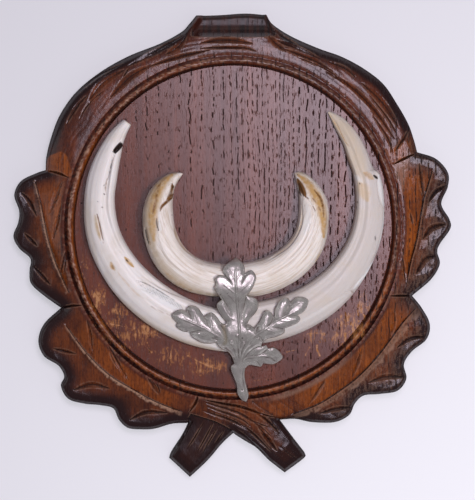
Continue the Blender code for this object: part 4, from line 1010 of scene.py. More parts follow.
def grown_tusk(name, stations, section, side, ivory, line_depth, line_length, seed):
    """The mesh of one tusk, in millimetres, out of its geometry nodes."""
    tree = tusk_tree(name, stations, section, side)
    carrier = bpy.data.objects.new(name, bpy.data.meshes.new(name))
    bpy.context.scene.collection.objects.link(carrier)
    grow = carrier.modifiers.new("grow", "NODES")
    grow.node_group = tree
    values = {"Rows": TUSK_ROWS, "Points around": TUSK_AROUND, "Line depth": line_depth,
              "Line length": line_length, "Seed": seed, "Ivory": ivory}
    for item in tree.interface.items_tree:
        if item.in_out == "INPUT":
            grow[item.identifier] = values[item.name]
    view = bpy.context.evaluated_depsgraph_get()
    grown = carrier.evaluated_get(view)
    mesh = bpy.data.meshes.new_from_object(grown, preserve_all_data_layers=True, depsgraph=view)
    carrier.modifiers.remove(grow)
    bpy.data.objects.remove(carrier)
    shape = bmesh.new()
    shape.from_mesh(mesh)
    bmesh.ops.recalc_face_normals(shape, faces=shape.faces)
    shape.to_mesh(mesh)
    shape.free()
    mesh.shade_smooth()
    return mesh


def vectors(rows, name):
    """Places or normals of a mesh, one to a row."""
    flat = np.zeros(len(rows) * 3, np.float32)
    rows.foreach_get(name, flat)
    return flat.reshape(-1, 3).astype(float)


def line_strength(plan, path, half_width, soft):
    """1 along a path, falling to 0 at its half width, tapered at its ends."""
    away, fraction, _ = nearest(plan, smooth_path(path, 1.0))
    reach = half_width * np.maximum(np.sin(math.pi * np.clip(fraction, 0.03, 0.97)) ** 0.5, 0.05)
    return ease(away, reach, reach * (1 - soft))


def work_tusk(mesh, cuts, paint, seed):
    """Grooves and chips cut into the upper side of a tusk, and the marks that its colour follows."""
    points, normals = vectors(mesh.vertices, "co"), vectors(mesh.vertex_normals, "vector")
    plan = points[:, :2]
    top = ease(normals[:, 2], -0.1, 0.25)
    depth = np.zeros(len(points))
    for path, half_width, deep in cuts:
        depth += deep * line_strength(plan, path, half_width, CUT_SOFT)
    points -= normals * (depth * top)[:, None]
    mesh.vertices.foreach_set("co", points.astype(np.float32).ravel())
    ragged = rough_noise(plan, RAG_SIZE, RAG_SIZE, seed)
    marks = {name: np.zeros(len(points)) for name in IVORY_MARKS}
    for name, path, half_width, strength, rag in paint:
        amount = line_strength(plan, path, half_width, PAINT_SOFT) * top
        amount = np.clip(amount * strength * (1 - rag) + amount * strength * rag * 2 * ragged, 0, 1)
        marks[name] = np.maximum(marks[name], amount)
    for name, values in marks.items():
        store(mesh, name, values)


IVORY_LIGHT, IVORY_SHADE = (0.57, 0.52, 0.50), (0.46, 0.40, 0.355)
IVORY_CREAM, IVORY_TAN = (0.56, 0.46, 0.35), (0.49, 0.30, 0.12)
IVORY_BROWN, IVORY_DARK = (0.17, 0.075, 0.022), (0.018, 0.010, 0.008)
ENAMEL = (0.70, 0.685, 0.68)


def ivory_material(name, light, streak, streak_amount):
    """Polished tooth: fine streaks along the growth, cream and brown staining, cool enamel, cracks."""
    material, tree, shader = new_material(name)
    place = add_node(tree, "ShaderNodeTexCoord", output=3)
    height = add_node(tree, "ShaderNodeSeparateXYZ", {0: place}, output=2)
    runs = {"X": attribute(tree, "arc"), "Y": attribute(tree, "distance"), "Z": times(tree, height, 1 / MM)}
    runs = add_node(tree, "ShaderNodeCombineXYZ", runs)
    streaks = stretched_noise(tree, runs, (0.035, 0.9, 0.9), 4.0, 0.65)
    cloud = stretched_noise(tree, place, (60, 60, 60), 3.0, 0.6)
    hair = stretched_noise(tree, runs, (0.09, 2.4, 2.4), 2.0, 0.6)
    streaked = times(tree, grade(tree, streaks, 0.42, 0.72), streak_amount)
    hairs = times(tree, grade(tree, hair, 0.60, 0.70), 0.25 * streak_amount)
    colour = layered(tree, light, (
        (streaked, streak), (grade(tree, cloud, 0.45, 0.75, 0.0, 0.35), IVORY_CREAM), ("cream", IVORY_CREAM),
        ("enamel", ENAMEL), ("tan", IVORY_TAN), ("brown", IVORY_BROWN), (hairs, IVORY_BROWN),
        ("dark", IVORY_DARK)))
    connect(tree, shader, {
        "Base Color": colour, "Roughness": grade(tree, streaks, 0.3, 0.8, 0.26, 0.44),
        "Subsurface Weight": 0.12, "Subsurface Radius": (1.0, 0.7, 0.5), "Subsurface Scale": 0.0015,
        "Normal": bumped(tree, hair, 0.25, 0.0002)})
    return material


# Slanting scratches in the filler of the left tusk: the upper end of each, and how far it runs.
HATCH = [(-58 + 2.1 * step, -33.6 - 1.15 * step) for step in range(13)]
HATCH_RUN = (3.2, -4.6)
# Cuts: path, half width, depth. Paint: kind, path, half width, strength and raggedness.
LEFT_CUTS = [
    ([(-73.5, 44), (-76.5, 30.5), (-78.4, 16.5), (-77.6, 7.5), (-74, -3), (-70.5, -11), (-65.5, -18),
     (-58.5, -26.5), (-51, -32.5), (-37.5, -40), (-24, -45.5)], 2.4, 0.9),
    ([(-73.2, 45.6), (-68.4, 51.6)], 1.3, 1.6), ([(-74, 43), (-76.3, 31), (-77.6, 24)], 0.6, 0.5),
    ([(-83.6, 8), (-81.5, -0.5), (-79.4, -10)], 0.9, 0.5),
    ([(-59, -36.5), (-50, -40), (-38, -45), (-31, -50)], 1.0, 0.3),
    ([(-54, -44), (-46, -50), (-36, -54.6)], 1.0, 0.4), ([(-66, -19), (-62.5, -23.5)], 0.8, 0.4),
    ([(-74.5, -23), (-72.5, -26)], 1.2, 0.4)]
# The black slot near the tip of the left tusk, as strokes side by side.
SLOT = [("dark", [(-73.2 + aside, 45.6 - 0.8 * aside), (-68.4 + aside, 51.6 - 0.8 * aside)], 0.8, 6.0, 0.0)
        for aside in (-0.8, -0.3, 0.2, 0.7)]
LEFT_PAINT = [
    ("dark", [(-74, 43), (-75.4, 36), (-77, 28)], 0.5, 0.8, 0.7),
    ("brown", [(-77.3, 30), (-78.3, 24), (-77.8, 20)], 0.9, 0.5, 0.9),
    ("dark", [(-79.5, 20.6), (-78.6, 19.6)], 0.7, 0.8, 0.2),
    ("dark", [(-83.4, 15.8), (-82.6, 15.2)], 0.5, 0.5, 0.2),
    ("dark", [(-80.8, 12.2), (-79.8, 11.8)], 0.7, 0.8, 0.2),
    ("dark", [(-78.6, 26), (-79.8, 25)], 0.5, 0.5, 0.2),
    ("brown", [(-83.4, 8), (-81.5, -0.5), (-79.4, -10)], 0.75, 1.1, 0.3),
    ("cream", [(-84.6, 7), (-83.2, -0.5), (-81.2, -8)], 2.2, 0.9, 0.4),
    ("tan", [(-84.2, 3), (-83.0, -1.5), (-81.6, -6)], 1.1, 0.5, 0.6),
    ("tan", [(-75, -21.5), (-74, -24.5), (-72.6, -26.5)], 1.9, 0.9, 0.8),
    ("brown", [(-74.2, -23.4), (-73.4, -25.6)], 0.9, 0.6, 0.8),
    ("tan", [(-66.5, -18.5), (-64, -21.5), (-61, -24.5)], 1.9, 0.9, 0.5),
    ("dark", [(-65.8, -19.8), (-64.4, -21.4)], 0.7, 0.9, 0.4),
    ("cream", [(-78, -38), (-66, -52), (-50, -64), (-30, -73), (-8, -77)], 7.5, 0.75, 0.2),
    ("cream", [(-90, 20), (-89, 0), (-83, -24)], 3.2, 0.35, 0.2),
    ("cream", [(-66, 65.2), (-61.6, 63.4), (-63, 59)], 2.6, 0.9, 0.3),
    ("enamel", [(-58, -36.5), (-48, -41), (-38, -47), (-31, -51.5)], 4.8, 1.2, 0.9),
    ("dark", [(-59, -32.6), (-52, -35.4), (-44, -40), (-36, -45)], 0.6, 0.5, 1.0),
    ("brown", [(-50.5, -48.4), (-45, -51.4), (-37.5, -54.6)], 0.6, 0.35, 0.9),
    ("tan", [(-71, -27.5), (-62, -38), (-54, -45)], 0.9, 0.4, 0.9)]
RIGHT_CUTS = [
    ([(60, 69), (65.5, 60), (71, 49.5)], 0.9, 0.4), ([(87, 33), (89.2, 31)], 1.3, 1.0),
    ([(87.6, 31.5), (88.6, 25), (89.6, 18), (92, 12.5)], 0.7, 0.5),
    ([(87.4, -18.6), (81, -29), (71.6, -38.4)], 0.7, 0.45), ([(71.6, -38.4), (74.6, -41)], 0.9, 0.8),
    ([(71, -38.8), (59.5, -46.4), (43, -56.5), (24, -64)], 0.8, 0.45),
    ([(66, 66), (72, 55), (76, 44)], 2.4, -0.35)]
RIGHT_PAINT = [
    ("cream", [(59, 70), (66, 62), (73, 50), (77.5, 36), (79, 24)], 8.5, 0.75, 0.3),
    ("tan", [(59.5, 69), (65, 60), (70.5, 49.5)], 0.9, 0.45, 0.6),
    ("tan", [(68.5, 47), (71, 40), (73.4, 33)], 2.2, 0.35, 0.5),
    ("tan", [(80.2, 33.4), (83, 31.6), (86, 29.4)], 3.0, 0.6, 0.5),
    ("brown", [(80.6, 33), (83.4, 30.5)], 1.6, 0.3, 0.9),
    ("dark", [(77.3, 27), (77.9, 26.2)], 0.7, 0.9, 0.1),
    ("tan", [(77.5, 27), (80.5, 21.5), (82, 16.5)], 5.5, 0.22, 0.5),
    ("dark", [(75.6, 13), (76, 10.4)], 0.5, 0.5, 0.2),
    ("enamel", [(89.4, 32), (90.6, 23), (92.6, 13)], 2.3, 1.2, 0.0),
    ("dark", [(86.2, 31.8), (87.6, 30.6), (88.6, 29.6)], 1.1, 2.2, 0.1),
    ("enamel", [(74.6, 31.5), (76.6, 29.6), (79, 27.4)], 2.4, 0.55, 0.3),
    ("brown", [(63.3, 65.2), (68.4, 53.5), (71.5, 49.4)], 0.5, 0.4, 0.6),
    ("dark", [(76, 15.8), (76.5, 14.6)], 0.6, 0.8, 0.0),
    ("cream", [(77, 28), (80, 22), (82.5, 16.5)], 6.0, 0.9, 0.3),
    ("enamel", [(92.4, 11), (92.4, 2), (90.6, -7), (88, -17)], 0.9, 1.0, 0.0),
    ("enamel", [(86.6, -20.6), (81.6, -28.8), (74.4, -37.6)], 2.0, 1.2, 0.0),
    ("enamel", [(68, -42.4), (56, -50), (40, -59), (22, -66)], 2.4, 0.35, 0.2),
    ("dark", [(87, -5.4), (87.3, -8.4)], 0.6, 0.8, 0.3),
    ("brown", [(71.4, -38.2), (74.8, -41.2)], 0.4, 0.5, 0.2)]

white_ivory = ivory_material("left lower ivory", (0.76, 0.715, 0.70), (0.60, 0.54, 0.50), 0.25)
left_mesh = grown_tusk("lower_left", LOWER_LEFT, LOWER_SECTION, -1, white_ivory, 0.22, 14.0, 3.0)
hatching = [("dark", [(left, top), (left + HATCH_RUN[0], top + HATCH_RUN[1])], 0.4, 0.35, 0.9)
            for left, top in HATCH]
work_tusk(left_mesh, LEFT_CUTS, SLOT + LEFT_PAINT + hatching, 101)
place_piece("left_lower_canine", left_mesh, white_ivory, "lower_tusk_left")
warm_ivory = ivory_material("right lower ivory", IVORY_LIGHT, IVORY_SHADE, 0.25)
right_mesh = grown_tusk("lower_right", LOWER_RIGHT, LOWER_SECTION, 1, warm_ivory, 0.18, 14.0, 8.0)
work_tusk(right_mesh, RIGHT_CUTS, RIGHT_PAINT, 111)
place_piece("right_lower_canine", right_mesh, warm_ivory, "lower_tusk_right")

# ------------------------------------------------------------------------------ Upper tusks
# The two short thick upper canines, real teeth: grooved along their growth, stained yellow-brown
# where they stood in the gum, with a smooth wear face and a dark notch on the inner side of the tip.

UPPER_SECTION = [
    (-0.5, 0), (-0.85, 0.12), (-1, 0.38), (-0.95, 0.62), (-0.78, 0.84), (-0.5, 0.96), (-0.12, 1),
    (0.28, 0.97), (0.62, 0.86), (0.88, 0.66), (1, 0.4), (0.88, 0.13), (0.52, 0)]
UPPER_LEFT = [
    (-1, 39.6, 59.4, 18), (-15, 40.5, 61.2, 18), (-30, 42.5, 63.7, 18), (-45, 43, 64.4, 18),
    (-60, 41.8, 62.6, 17.5), (-75, 39.8, 59.5, 16.5), (-88, 39, 56.3, 14.5), (-98, 38.7, 52.4, 12),
    (-106, 37.8, 47.8, 9), (-112, 36.9, 43.6, 6.5), (-116, 36.4, 38.4, 4)]
UPPER_RIGHT = [
    (1, 39, 59.9, 18), (15, 39.1, 60.8, 18), (30, 39.9, 61.7, 18), (45, 40.8, 62.4, 18),
    (60, 41.1, 61.7, 17.5), (75, 39.6, 58.9, 16.5), (88, 38.8, 56.4, 14.5), (98, 38.7, 52.7, 12),
    (105, 38.7, 49.1, 9), (110.5, 38.9, 46, 6.5), (114.5, 39.2, 42.4, 4)]
UPPER_LEFT_CUTS = [
    ([(-37, 26), (-36.6, 22.4), (-39.5, 19)], 1.6, 1.2),
    ([(-43.4, 12.4), (-40.5, 15.4), (-37, 18)], 1.0, 0.8),
    ([(-47, 5.6), (-46.6, 1.5), (-45.3, -2.4)], 0.8, 0.9),
    ([(-54, -0.5), (-53.4, -5), (-52, -10.5)], 0.9, 1.0),
    ([(-43, 9), (-42, -4), (-36, -16), (-26, -25), (-12, -31)], 1.4, 0.45),
    ([(-45.5, 3), (-45, -6), (-40, -18), (-30, -28)], 1.6, -0.5),
    ([(-36, 6), (-35, -4), (-30, -13), (-20, -20)], 1.1, 0.4), ([(-46, 19.5), (-49, 8)], 1.0, 0.3)]
UPPER_LEFT_PAINT = [
    ("tan", [(-38, 32), (-44, 26), (-48.6, 15), (-49.4, 2), (-48.4, -8)], 5.2, 0.8, 0.6),
    ("cream", [(-36, 33), (-46, 24), (-51, 10), (-51.5, -4), (-48, -16)], 7.5, 0.9, 0.3),
    ("brown", [(-44.5, 27), (-46.5, 22), (-47.6, 17)], 1.5, 0.55, 1.0),
    ("brown", [(-46.4, 19.6), (-48.2, 13), (-49.2, 8)], 1.1, 0.8, 0.9),
    ("brown", [(-37.6, 26.4), (-37.2, 23), (-38.2, 19.6), (-40.6, 16.6)], 2.3, 1.1, 0.5),
    ("dark", [(-37.2, 25.2), (-36.4, 21.6)], 0.9, 0.8, 0.5),
    ("brown", [(-37, 18.6), (-40.4, 15.6), (-43.6, 12.6), (-44.6, 9.6)], 1.4, 1.2, 0.5),
    ("dark", [(-47.1, 5.6), (-46.7, 1.5), (-45.5, -2.4)], 0.6, 1.0, 0.3),
    ("enamel", [(-45.4, 10.4), (-45.2, 3), (-43.8, -3)], 1.0, 0.9, 0.3),
    ("dark", [(-54, -0.6), (-53.3, -5), (-51.8, -10.6)], 0.7, 1.0, 0.5),
    ("brown", [(-53, 0), (-52.2, -5), (-50.6, -11)], 0.8, 0.6, 0.6),
    ("dark", [(-37.6, 7.6), (-37.4, 7)], 0.5, 0.8, 0.0),
    ("cream", [(-50, -10), (-44, -24), (-34, -34), (-20, -41), (-6, -43.5)], 5.5, 0.8, 0.5),
    ("tan", [(-43, -26), (-34, -34.5), (-24, -39.5)], 1.6, 0.35, 0.9),
    ("tan", [(-36, 4), (-35, -5), (-29, -14), (-18, -21)], 1.2, 0.4, 0.6)]
UPPER_RIGHT_CUTS = [
    ([(39.6, 28), (40.6, 23.6), (42.8, 19.2)], 1.7, 1.4), ([(42.8, 18.8), (46, 16), (50, 9.4)], 0.9, 0.6),
    ([(42, 13), (41.4, 1), (34.5, -11), (22, -20)], 1.1, 0.6), ([(48.6, 12), (50.4, 7)], 0.8, 0.6),
    ([(50.6, 10), (50, 0), (45, -12), (34, -24), (18, -32)], 1.5, -0.4),
    ([(46.6, 2), (43, -8), (33, -20), (20, -28)], 1.2, 0.4)]
UPPER_RIGHT_PAINT = [
    ("tan", [(40, 32), (46, 26.5), (52, 17), (55, 6), (55.4, -6)], 4.6, 0.95, 0.5),
    ("tan", [(45, 28), (48, 20), (49, 14)], 2.6, 0.6, 0.8),
    ("brown", [(49.6, 22.6), (53.4, 17.6), (55, 12.6), (55.4, 6)], 1.3, 0.8, 0.9),
    ("brown", [(48.4, 17.6), (50.6, 15)], 0.9, 0.7, 0.6),
    ("brown", [(52, 12.6), (53.6, 9.6)], 0.9, 0.7, 0.6),
    ("brown", [(39.6, 29.4), (41.4, 25), (44.4, 18.6)], 2.7, 1.5, 0.2),
    ("dark", [(39.8, 26.6), (40.4, 22), (42, 18.8)], 0.9, 0.9, 0.4),
    ("tan", [(43, 22.6), (44, 21.2)], 0.8, 1.0, 0.0), ("brown", [(44.8, 18.4), (46.2, 17)], 0.8, 0.8, 0.3),
    ("brown", [(48.6, 13), (50.2, 9.6)], 0.7, 0.7, 0.6),
    ("dark", [(39.2, 32.6), (39.9, 31.8)], 0.5, 0.7, 0.1),
    ("cream", [(38.6, 33), (41, 33), (45, 30)], 2.4, 0.8, 0.2),
    ("enamel", [(44.6, 14), (46, 5), (43.6, -4)], 3.2, 0.6, 0.2),
    ("tan", [(42, 13), (41.2, 1), (34.4, -11), (22, -20)], 0.9, 0.4, 0.7),
    ("tan", [(54, -14), (50, -24)], 1.4, 0.5, 0.8)]

stained_ivory = ivory_material("upper tusk ivory", (0.78, 0.72, 0.68), (0.46, 0.35, 0.25), 0.7)
left_mesh = grown_tusk("upper_left", UPPER_LEFT, UPPER_SECTION, -1, stained_ivory, 0.55, 22.0, 13.0)
work_tusk(left_mesh, UPPER_LEFT_CUTS, UPPER_LEFT_PAINT, 121)
place_piece("left_upper_canine", left_mesh, stained_ivory, "upper_tusk_left")
right_mesh = grown_tusk("upper_right", UPPER_RIGHT, UPPER_SECTION, 1, stained_ivory, 0.55, 22.0, 17.0)
work_tusk(right_mesh, UPPER_RIGHT_CUTS, UPPER_RIGHT_PAINT, 131)
place_piece("right_upper_canine", right_mesh, stained_ivory, "upper_tusk_right")

# ------------------------------------------------------------------------------ Oak-leaf ornament
# A spray of oak leaves with a cut stem: one pewter casting, bent over the roots of the tusks and screwed
# to the board. Its lobes are domed with chased veins; it is dull in the creases, bright on high places.

# Outline, clockwise from the tip of the top leaf. A stretch is one lobe, notch to notch.
SPRAY = [
    [(1.5, -18.5), (5, -21), (7, -25), (7, -28.5)],
    [(7, -28.5), (11, -26.5), (13.5, -29), (14, -32), (12, -37), (8.5, -42)],
    [(8.5, -42), (14, -44), (15.5, -48), (14, -52), (10.5, -56), (8.5, -59.5)],
    [(8.5, -59.5), (10.5, -60), (13, -62)],
    [(13, -62), (16, -57.5), (18.5, -52.5), (20.5, -51), (23, -52), (25, -55)],
    [(25, -55), (25.5, -50.5), (27.5, -46), (30.5, -43.5), (33.5, -43.5), (35, -46)],
    [(35, -46), (38.5, -43), (43, -43), (46, -45), (45, -49), (43, -52), (39.5, -54)],
    [(39.5, -54), (41, -56), (39.5, -58.5), (35.5, -60.5), (31.5, -62)],
    [(31.5, -62), (31, -65), (25.5, -67.5), (21, -68.5), (18, -71)],
    [(18, -71), (17.5, -73), (20, -72.5), (21.5, -74.5)],
    [(21.5, -74.5), (25, -74), (28.5, -76.5), (30.5, -80), (28.5, -82.5), (24.5, -84.5), (18.5, -84)],
    [(18.5, -84), (17, -86), (13.5, -85.5), (10, -85), (7.5, -87)],
    [(7.5, -87), (7, -91), (8, -97), (9.5, -103), (9, -106), (8, -108)],
    [(8, -108), (5, -106.5), (2.5, -102.5), (2, -97.5), (0, -92), (-1.5, -88), (-1.5, -85.5), (0.5, -84)],
    [(0.5, -84), (-1, -79.5), (-4, -76), (-7, -75), (-9.5, -72.5), (-10, -71)],
    [(-10, -71), (-15, -71.5), (-19, -71), (-23, -69), (-25.5, -67), (-26.5, -64.5)],
    [(-26.5, -64.5), (-30.5, -64), (-34, -62), (-35, -60.5), (-34, -59)],
    [(-34, -59), (-36.5, -56.5), (-37.5, -54), (-36, -52), (-32, -50.5), (-28.5, -51.5)],
    [(-28.5, -51.5), (-28, -49), (-25, -48), (-21.5, -49.5), (-19, -53), (-17.5, -55)],
    [(-17.5, -55), (-15.5, -53), (-13, -52.5), (-10, -55), (-8, -58)],
    [(-8, -58), (-5.5, -59.5), (-4, -58)], [(-4, -58), (-7, -55), (-9.5, -50.5), (-10, -47), (-7, -44.5)],
    [(-7, -44.5), (-9.5, -41), (-11.5, -37.5), (-10.5, -35), (-11.5, -32), (-9, -29.5), (-4.5, -30)],
    [(-4.5, -30), (-6.5, -27), (-5.5, -24), (-2, -21), (1.5, -18.5)]]
# Valleys between the lobes, each from its notch inwards, and the flutes that gather into the stem.
CREASES = [
    [(-4, -30.5), (-1, -34.5), (0.5, -40.5)], [(7.5, -29), (5.5, -33.5), (3.5, -40.5)],
    [(-8, -41.5), (-4, -47.5), (-2, -52.5), (-1, -57)], [(8, -42), (6.5, -49), (5.5, -54.5), (6.5, -60)],
    [(-5, -57), (-6.5, -60.5)], [(-28, -51), (-26, -54.5), (-25, -57.5)],
    [(-18, -55), (-16, -58.5), (-14, -62.5)], [(-7.5, -60), (-5, -65), (-4, -70), (-6.5, -72.5)],
    [(-26, -64.5), (-21, -63.5), (-16.5, -64)], [(-10, -69), (-12.5, -68), (-9, -67)],
    [(24.5, -55.5), (22.5, -59), (20, -62)], [(34.5, -48.5), (32, -52), (29.5, -55)],
    [(15, -61.5), (13, -66.5)], [(41, -54.5), (36, -54.5), (32, -55)],
    [(32, -63), (27, -61.5), (23, -61.5)], [(18, -69.5), (16.5, -67), (14, -68)],
    [(21, -75), (18, -77.5), (14.5, -79)], [(26.5, -83), (22.5, -80.5), (17.5, -80.5)],
    [(16.5, -85.5), (14.5, -82.5), (11.5, -82)], [(17.5, -73), (12, -75), (7.5, -79.5), (5, -84)]]
FLUTES = [
    [(-6.5, -73), (-2, -77), (2, -83)], [(-3.5, -69), (0, -74), (2.5, -82)],
    [(1.5, -68.5), (3, -75), (3.5, -82)], [(8, -70.5), (5.5, -75.5), (4, -82)],
    [(13, -71.5), (8, -75.5), (5, -82.5)], [(6, -87.5), (5.8, -94), (7.8, -103)]]
MIDRIBS = [
    [(5, -84.5), (4, -75), (4, -66), (3.5, -57.5), (2.5, -46.5), (2, -39), (1.5, -30.5), (1.5, -21.5)],
    [(-6.5, -68.5), (-10, -66.5), (-17.5, -62), (-27.5, -57.5), (-34, -55)],
    [(6.5, -76.5), (12.5, -67), (19.5, -62.5), (26, -57.5), (32, -54.5), (39.5, -51)],
    [(5, -85), (8, -80.5), (14.5, -79.5), (20.5, -79), (27, -79)]]
SIDE_VEINS = [
    [(-4, -40.5), (-1, -43), (2, -46.5)], [(8, -41), (5.5, -43.5), (3, -46.5)],
    [(-6.5, -34.5), (-2, -38), (2, -41.5)], [(11.5, -33), (6.5, -37), (2, -41.5)],
    [(-6, -49), (-2, -55), (2, -57)], [(12.5, -47.5), (8, -55), (4, -59.5)],
    [(-3, -25.5), (-0.5, -29), (1.5, -33)], [(5.5, -25.5), (4, -29), (1.5, -33)],
    [(-33.5, -51.5), (-29.5, -54.5), (-27.5, -57.5)], [(-24, -49.5), (-22.5, -54.5), (-20.5, -60.5)],
    [(-13.5, -53.5), (-12.5, -59), (-11.5, -64.5)], [(-32, -62), (-27.5, -61.5), (-23, -60)],
    [(-21, -67), (-16.5, -66), (-13.5, -64)], [(20, -52), (19.5, -57.5), (19.5, -62.5)],
    [(30.5, -44.5), (28, -51.5), (26, -57.5)], [(43.5, -45), (38.5, -47.5), (33, -54)],
    [(38.5, -57.5), (33, -57.5), (28, -57)], [(27.5, -64.5), (23, -63.5), (20, -62.5)],
    [(18, -68.5), (15.5, -67), (13, -66.5)], [(34.5, -48.5), (39.5, -46), (44.5, -46.5)],
    [(18, -74.5), (14.5, -77), (11.5, -80)], [(25, -75), (20.5, -77.5), (16.5, -79.5)],
    [(25.5, -82), (21.5, -80)], [(17, -84.5), (14.5, -81.5)]]
# Small domed knobs (middle, radius and height) and pits.
KNOBS = [
    ((-1, -70.5), 1.6, 0.9), ((6.5, -71), 1.1, 0.6), ((-5, -59), 1.5, 0.7), ((-6.5, -60), 1.2, 0.6),
    ((9, -61.5), 1.5, 0.7), ((13.5, -61.5), 1.1, 0.5), ((2.5, -66.5), 1.0, 0.4), ((-21.5, -65.5), 1.2, 0.4),
    ((5.5, -68), 0.55, -0.8), ((5.5, -100.5), 0.9, -0.5)]
BLACK_SPECKS = [
    ((-2.5, -32), 0.45), ((-0.6, -31.8), 0.4), ((-4, -34.5), 0.35), ((4.5, -33.5), 0.35),
    ((-3.5, -40.5), 0.35), ((-1.4, -33), 0.3), ((5.5, -68), 0.5)]
# Height of the under side over the back, by distance from the middle of the crescents.
SPRAY_UNDER = [
    (33, 31.5), (36, 34), (39, 36.5), (42, 38.2), (46, 39), (54, 39), (58, 38.3), (61, 37.2), (64, 36),
    (68, 35.2), (74, 35), (81, 35), (85, 34.2), (88, 33), (91, 31.4), (94, 29.6), (98, 27.2), (103, 25.4),
    (110, 23.6), (118, 21.8), (126, 20.6)]
CAST_GRID, CAST_STEP, CAST_CLEAR = 0.43, 0.45, 0.3
CREASE_START, CREASE_END = 0.3, 2.6              # a crease is deep at its notch and fades inwards
CAST_EDGE, LOBE_RISE, LOBE_REACH = 0.9, 1.9, 3.6
SHOULDER_FLAT, SHOULDER_TILT = 2.0, 0.7          # the lobes are flatter, and tilt, over the upper tusks
RIM_RISE, MIDRIB_RISE, VEIN_RISE, FLUTE_DEPTH = 0.22, 0.42, 0.2, 0.5
MIDRIB_HALF, VEIN_HALF, FLUTE_HALF = 0.75, 0.5, 1.2
UNEVEN, UNEVEN_SIZE, THINNEST = 0.3, 4.5, 0.5
SHARP_CASTING = math.radians(60)
RUST_PATH, RUST_HALF, RUST_STRENGTH = [(-6.5, -58), (-5, -65), (-4.5, -70), (-7, -73)], 2.2, 0.45
GRIME_STRENGTH, MOST_GRIME = 9, 0.9


def ridges(points, paths, half_width):
    """1 along each of the paths, falling to 0 at the half width, and tapered at their ends."""
    found = np.zeros(len(points))
    for path in paths:
        away, fraction, _ = nearest(points, smooth_path(path, 1.0))
        shape = np.clip(np.minimum(fraction, 1 - fraction) / 0.15, 0.25, 1)
        found = np.maximum(found, shape * ease(away, half_width, 0))
    return found


def cast_thickness(points, outline):
    """Domed lobes between creases, a rim along the edge, raised veins, flutes, knobs and pits."""
    edge = edge_distance(points, outline)
    close = edge.copy()
    for path in CREASES:
        away, fraction, _ = nearest(points, smooth_path(path, 1.0))
        close = np.minimum(close, away + CREASE_START + CREASE_END * fraction**2)
    away = np.hypot(*(points - TUSK_CENTRE).T)
    shoulder = between(away, 45, 48, 57, 60)
    dome = 1 - (1 - np.clip(close / (LOBE_REACH - SHOULDER_FLAT * shoulder), 0, 1)) ** 2
    thick = CAST_EDGE + LOBE_RISE * dome + RIM_RISE * between(edge, 0.0, 0.35, 0.55, 1.15)
    for paths, half_width, rise in ((MIDRIBS, MIDRIB_HALF, MIDRIB_RISE), (SIDE_VEINS, VEIN_HALF, VEIN_RISE),
                                    (FLUTES, FLUTE_HALF, -FLUTE_DEPTH)):
        thick = thick + rise * ridges(points, paths, half_width)
    for middle, radius, rise in KNOBS:
        share = np.clip(np.linalg.norm(points - middle, axis=1) / radius, 0, 1)
        thick = thick + rise * (1 - share**2) ** 1.2
    thick = thick - SHOULDER_TILT * dome * between(away, 38, 43, 46, 54)
    uneven = rough_noise(points, UNEVEN_SIZE, UNEVEN_SIZE, 141) - 0.5
    return np.maximum(thick + UNEVEN * uneven, THINNEST)


# Colours of the pewter, as linear light.
PEWTER, PEWTER_DULL = (0.64, 0.61, 0.57), (0.48, 0.44, 0.42)
PEWTER_GRIME, PEWTER_RUST = (0.13, 0.10, 0.085), (0.40, 0.31, 0.16)


def pewter_material():
    """Dull polished pewter, brown in its creases, with specks and a yellow-brown stain."""
    material, tree, shader = new_material("cast pewter")
    place = add_node(tree, "ShaderNodeTexCoord", output=3)
    cloud = stretched_noise(tree, place, (220, 220, 220), 4.0, 0.6)
    grain = stretched_noise(tree, place, (2400, 2400, 2400), 2.0, 0.6)
    grime = times(tree, attribute(tree, "grime"), grade(tree, cloud, 0.3, 0.6, 0.4, 1.0))
    colour = blend(tree, grade(tree, cloud, 0.35, 0.7), PEWTER, PEWTER_DULL)
    colour = layered(tree, colour, ((grime, PEWTER_GRIME), ("rust", PEWTER_RUST), ("speck", PORE)))
    rough = plus(tree, grade(tree, cloud, 0.3, 0.7, 0.24, 0.36), times(tree, grime, 0.2))
    connect(tree, shader, {"Base Color": colour, "Metallic": 0.7, "Roughness": rough,
                           "Normal": bumped(tree, grain, 0.12, 0.0002)})
    return material


spray_outline = closed_outline(SPRAY, CAST_STEP)
spots = hexagon_grid(spray_outline.min(0), spray_outline.max(0), CAST_GRID)
spots = spots[inside(spots, spray_outline)]
spots = keep_clear(spots, [np.vstack([spray_outline, spray_outline[:1]])], CAST_CLEAR)
cast = plan_triangles(spray_outline, [], [], spots)
flat = plan_points(cast)
under_line = smooth_path(SPRAY_UNDER, CAST_STEP).T
under = np.interp(np.hypot(*(flat - TUSK_CENTRE).T), *under_line)
face = under + cast_thickness(flat, spray_outline)
crease = hollows(cast, face)
bmesh.ops.extrude_face_region(cast, geom=list(cast.faces))
cast.verts.ensure_lookup_table()
lower = np.array([vert.co.xy for vert in cast.verts[len(face):]]) - TUSK_CENTRE
heights = np.concatenate([face, np.interp(np.hypot(*lower.T), *under_line)])
for vert, height in zip(cast.verts, heights):
    vert.co.z = height
bmesh.ops.recalc_face_normals(cast, faces=cast.faces)
cast_mesh = bpy.data.meshes.new("oak_leaf_spray")
cast.to_mesh(cast_mesh)
cast.free()
extra = len(cast_mesh.vertices) - len(flat)
specks = [ease(np.linalg.norm(flat - middle, axis=1), size, size / 2) for middle, size in BLACK_SPECKS]
specks = np.max(specks, axis=0)
marks = {"grime": np.clip(crease * GRIME_STRENGTH, 0, MOST_GRIME), "speck": specks,
         "rust": RUST_STRENGTH * ridges(flat, [RUST_PATH], RUST_HALF)}
for name, values in marks.items():
    store(cast_mesh, name, np.concatenate([values, np.zeros(extra)]))
cast_mesh.shade_smooth()
cast_mesh.set_sharp_from_angle(angle=SHARP_CASTING)
place_piece("cast_oak_leaf_spray", cast_mesh, pewter_material(), "oak_leaf_ornament")

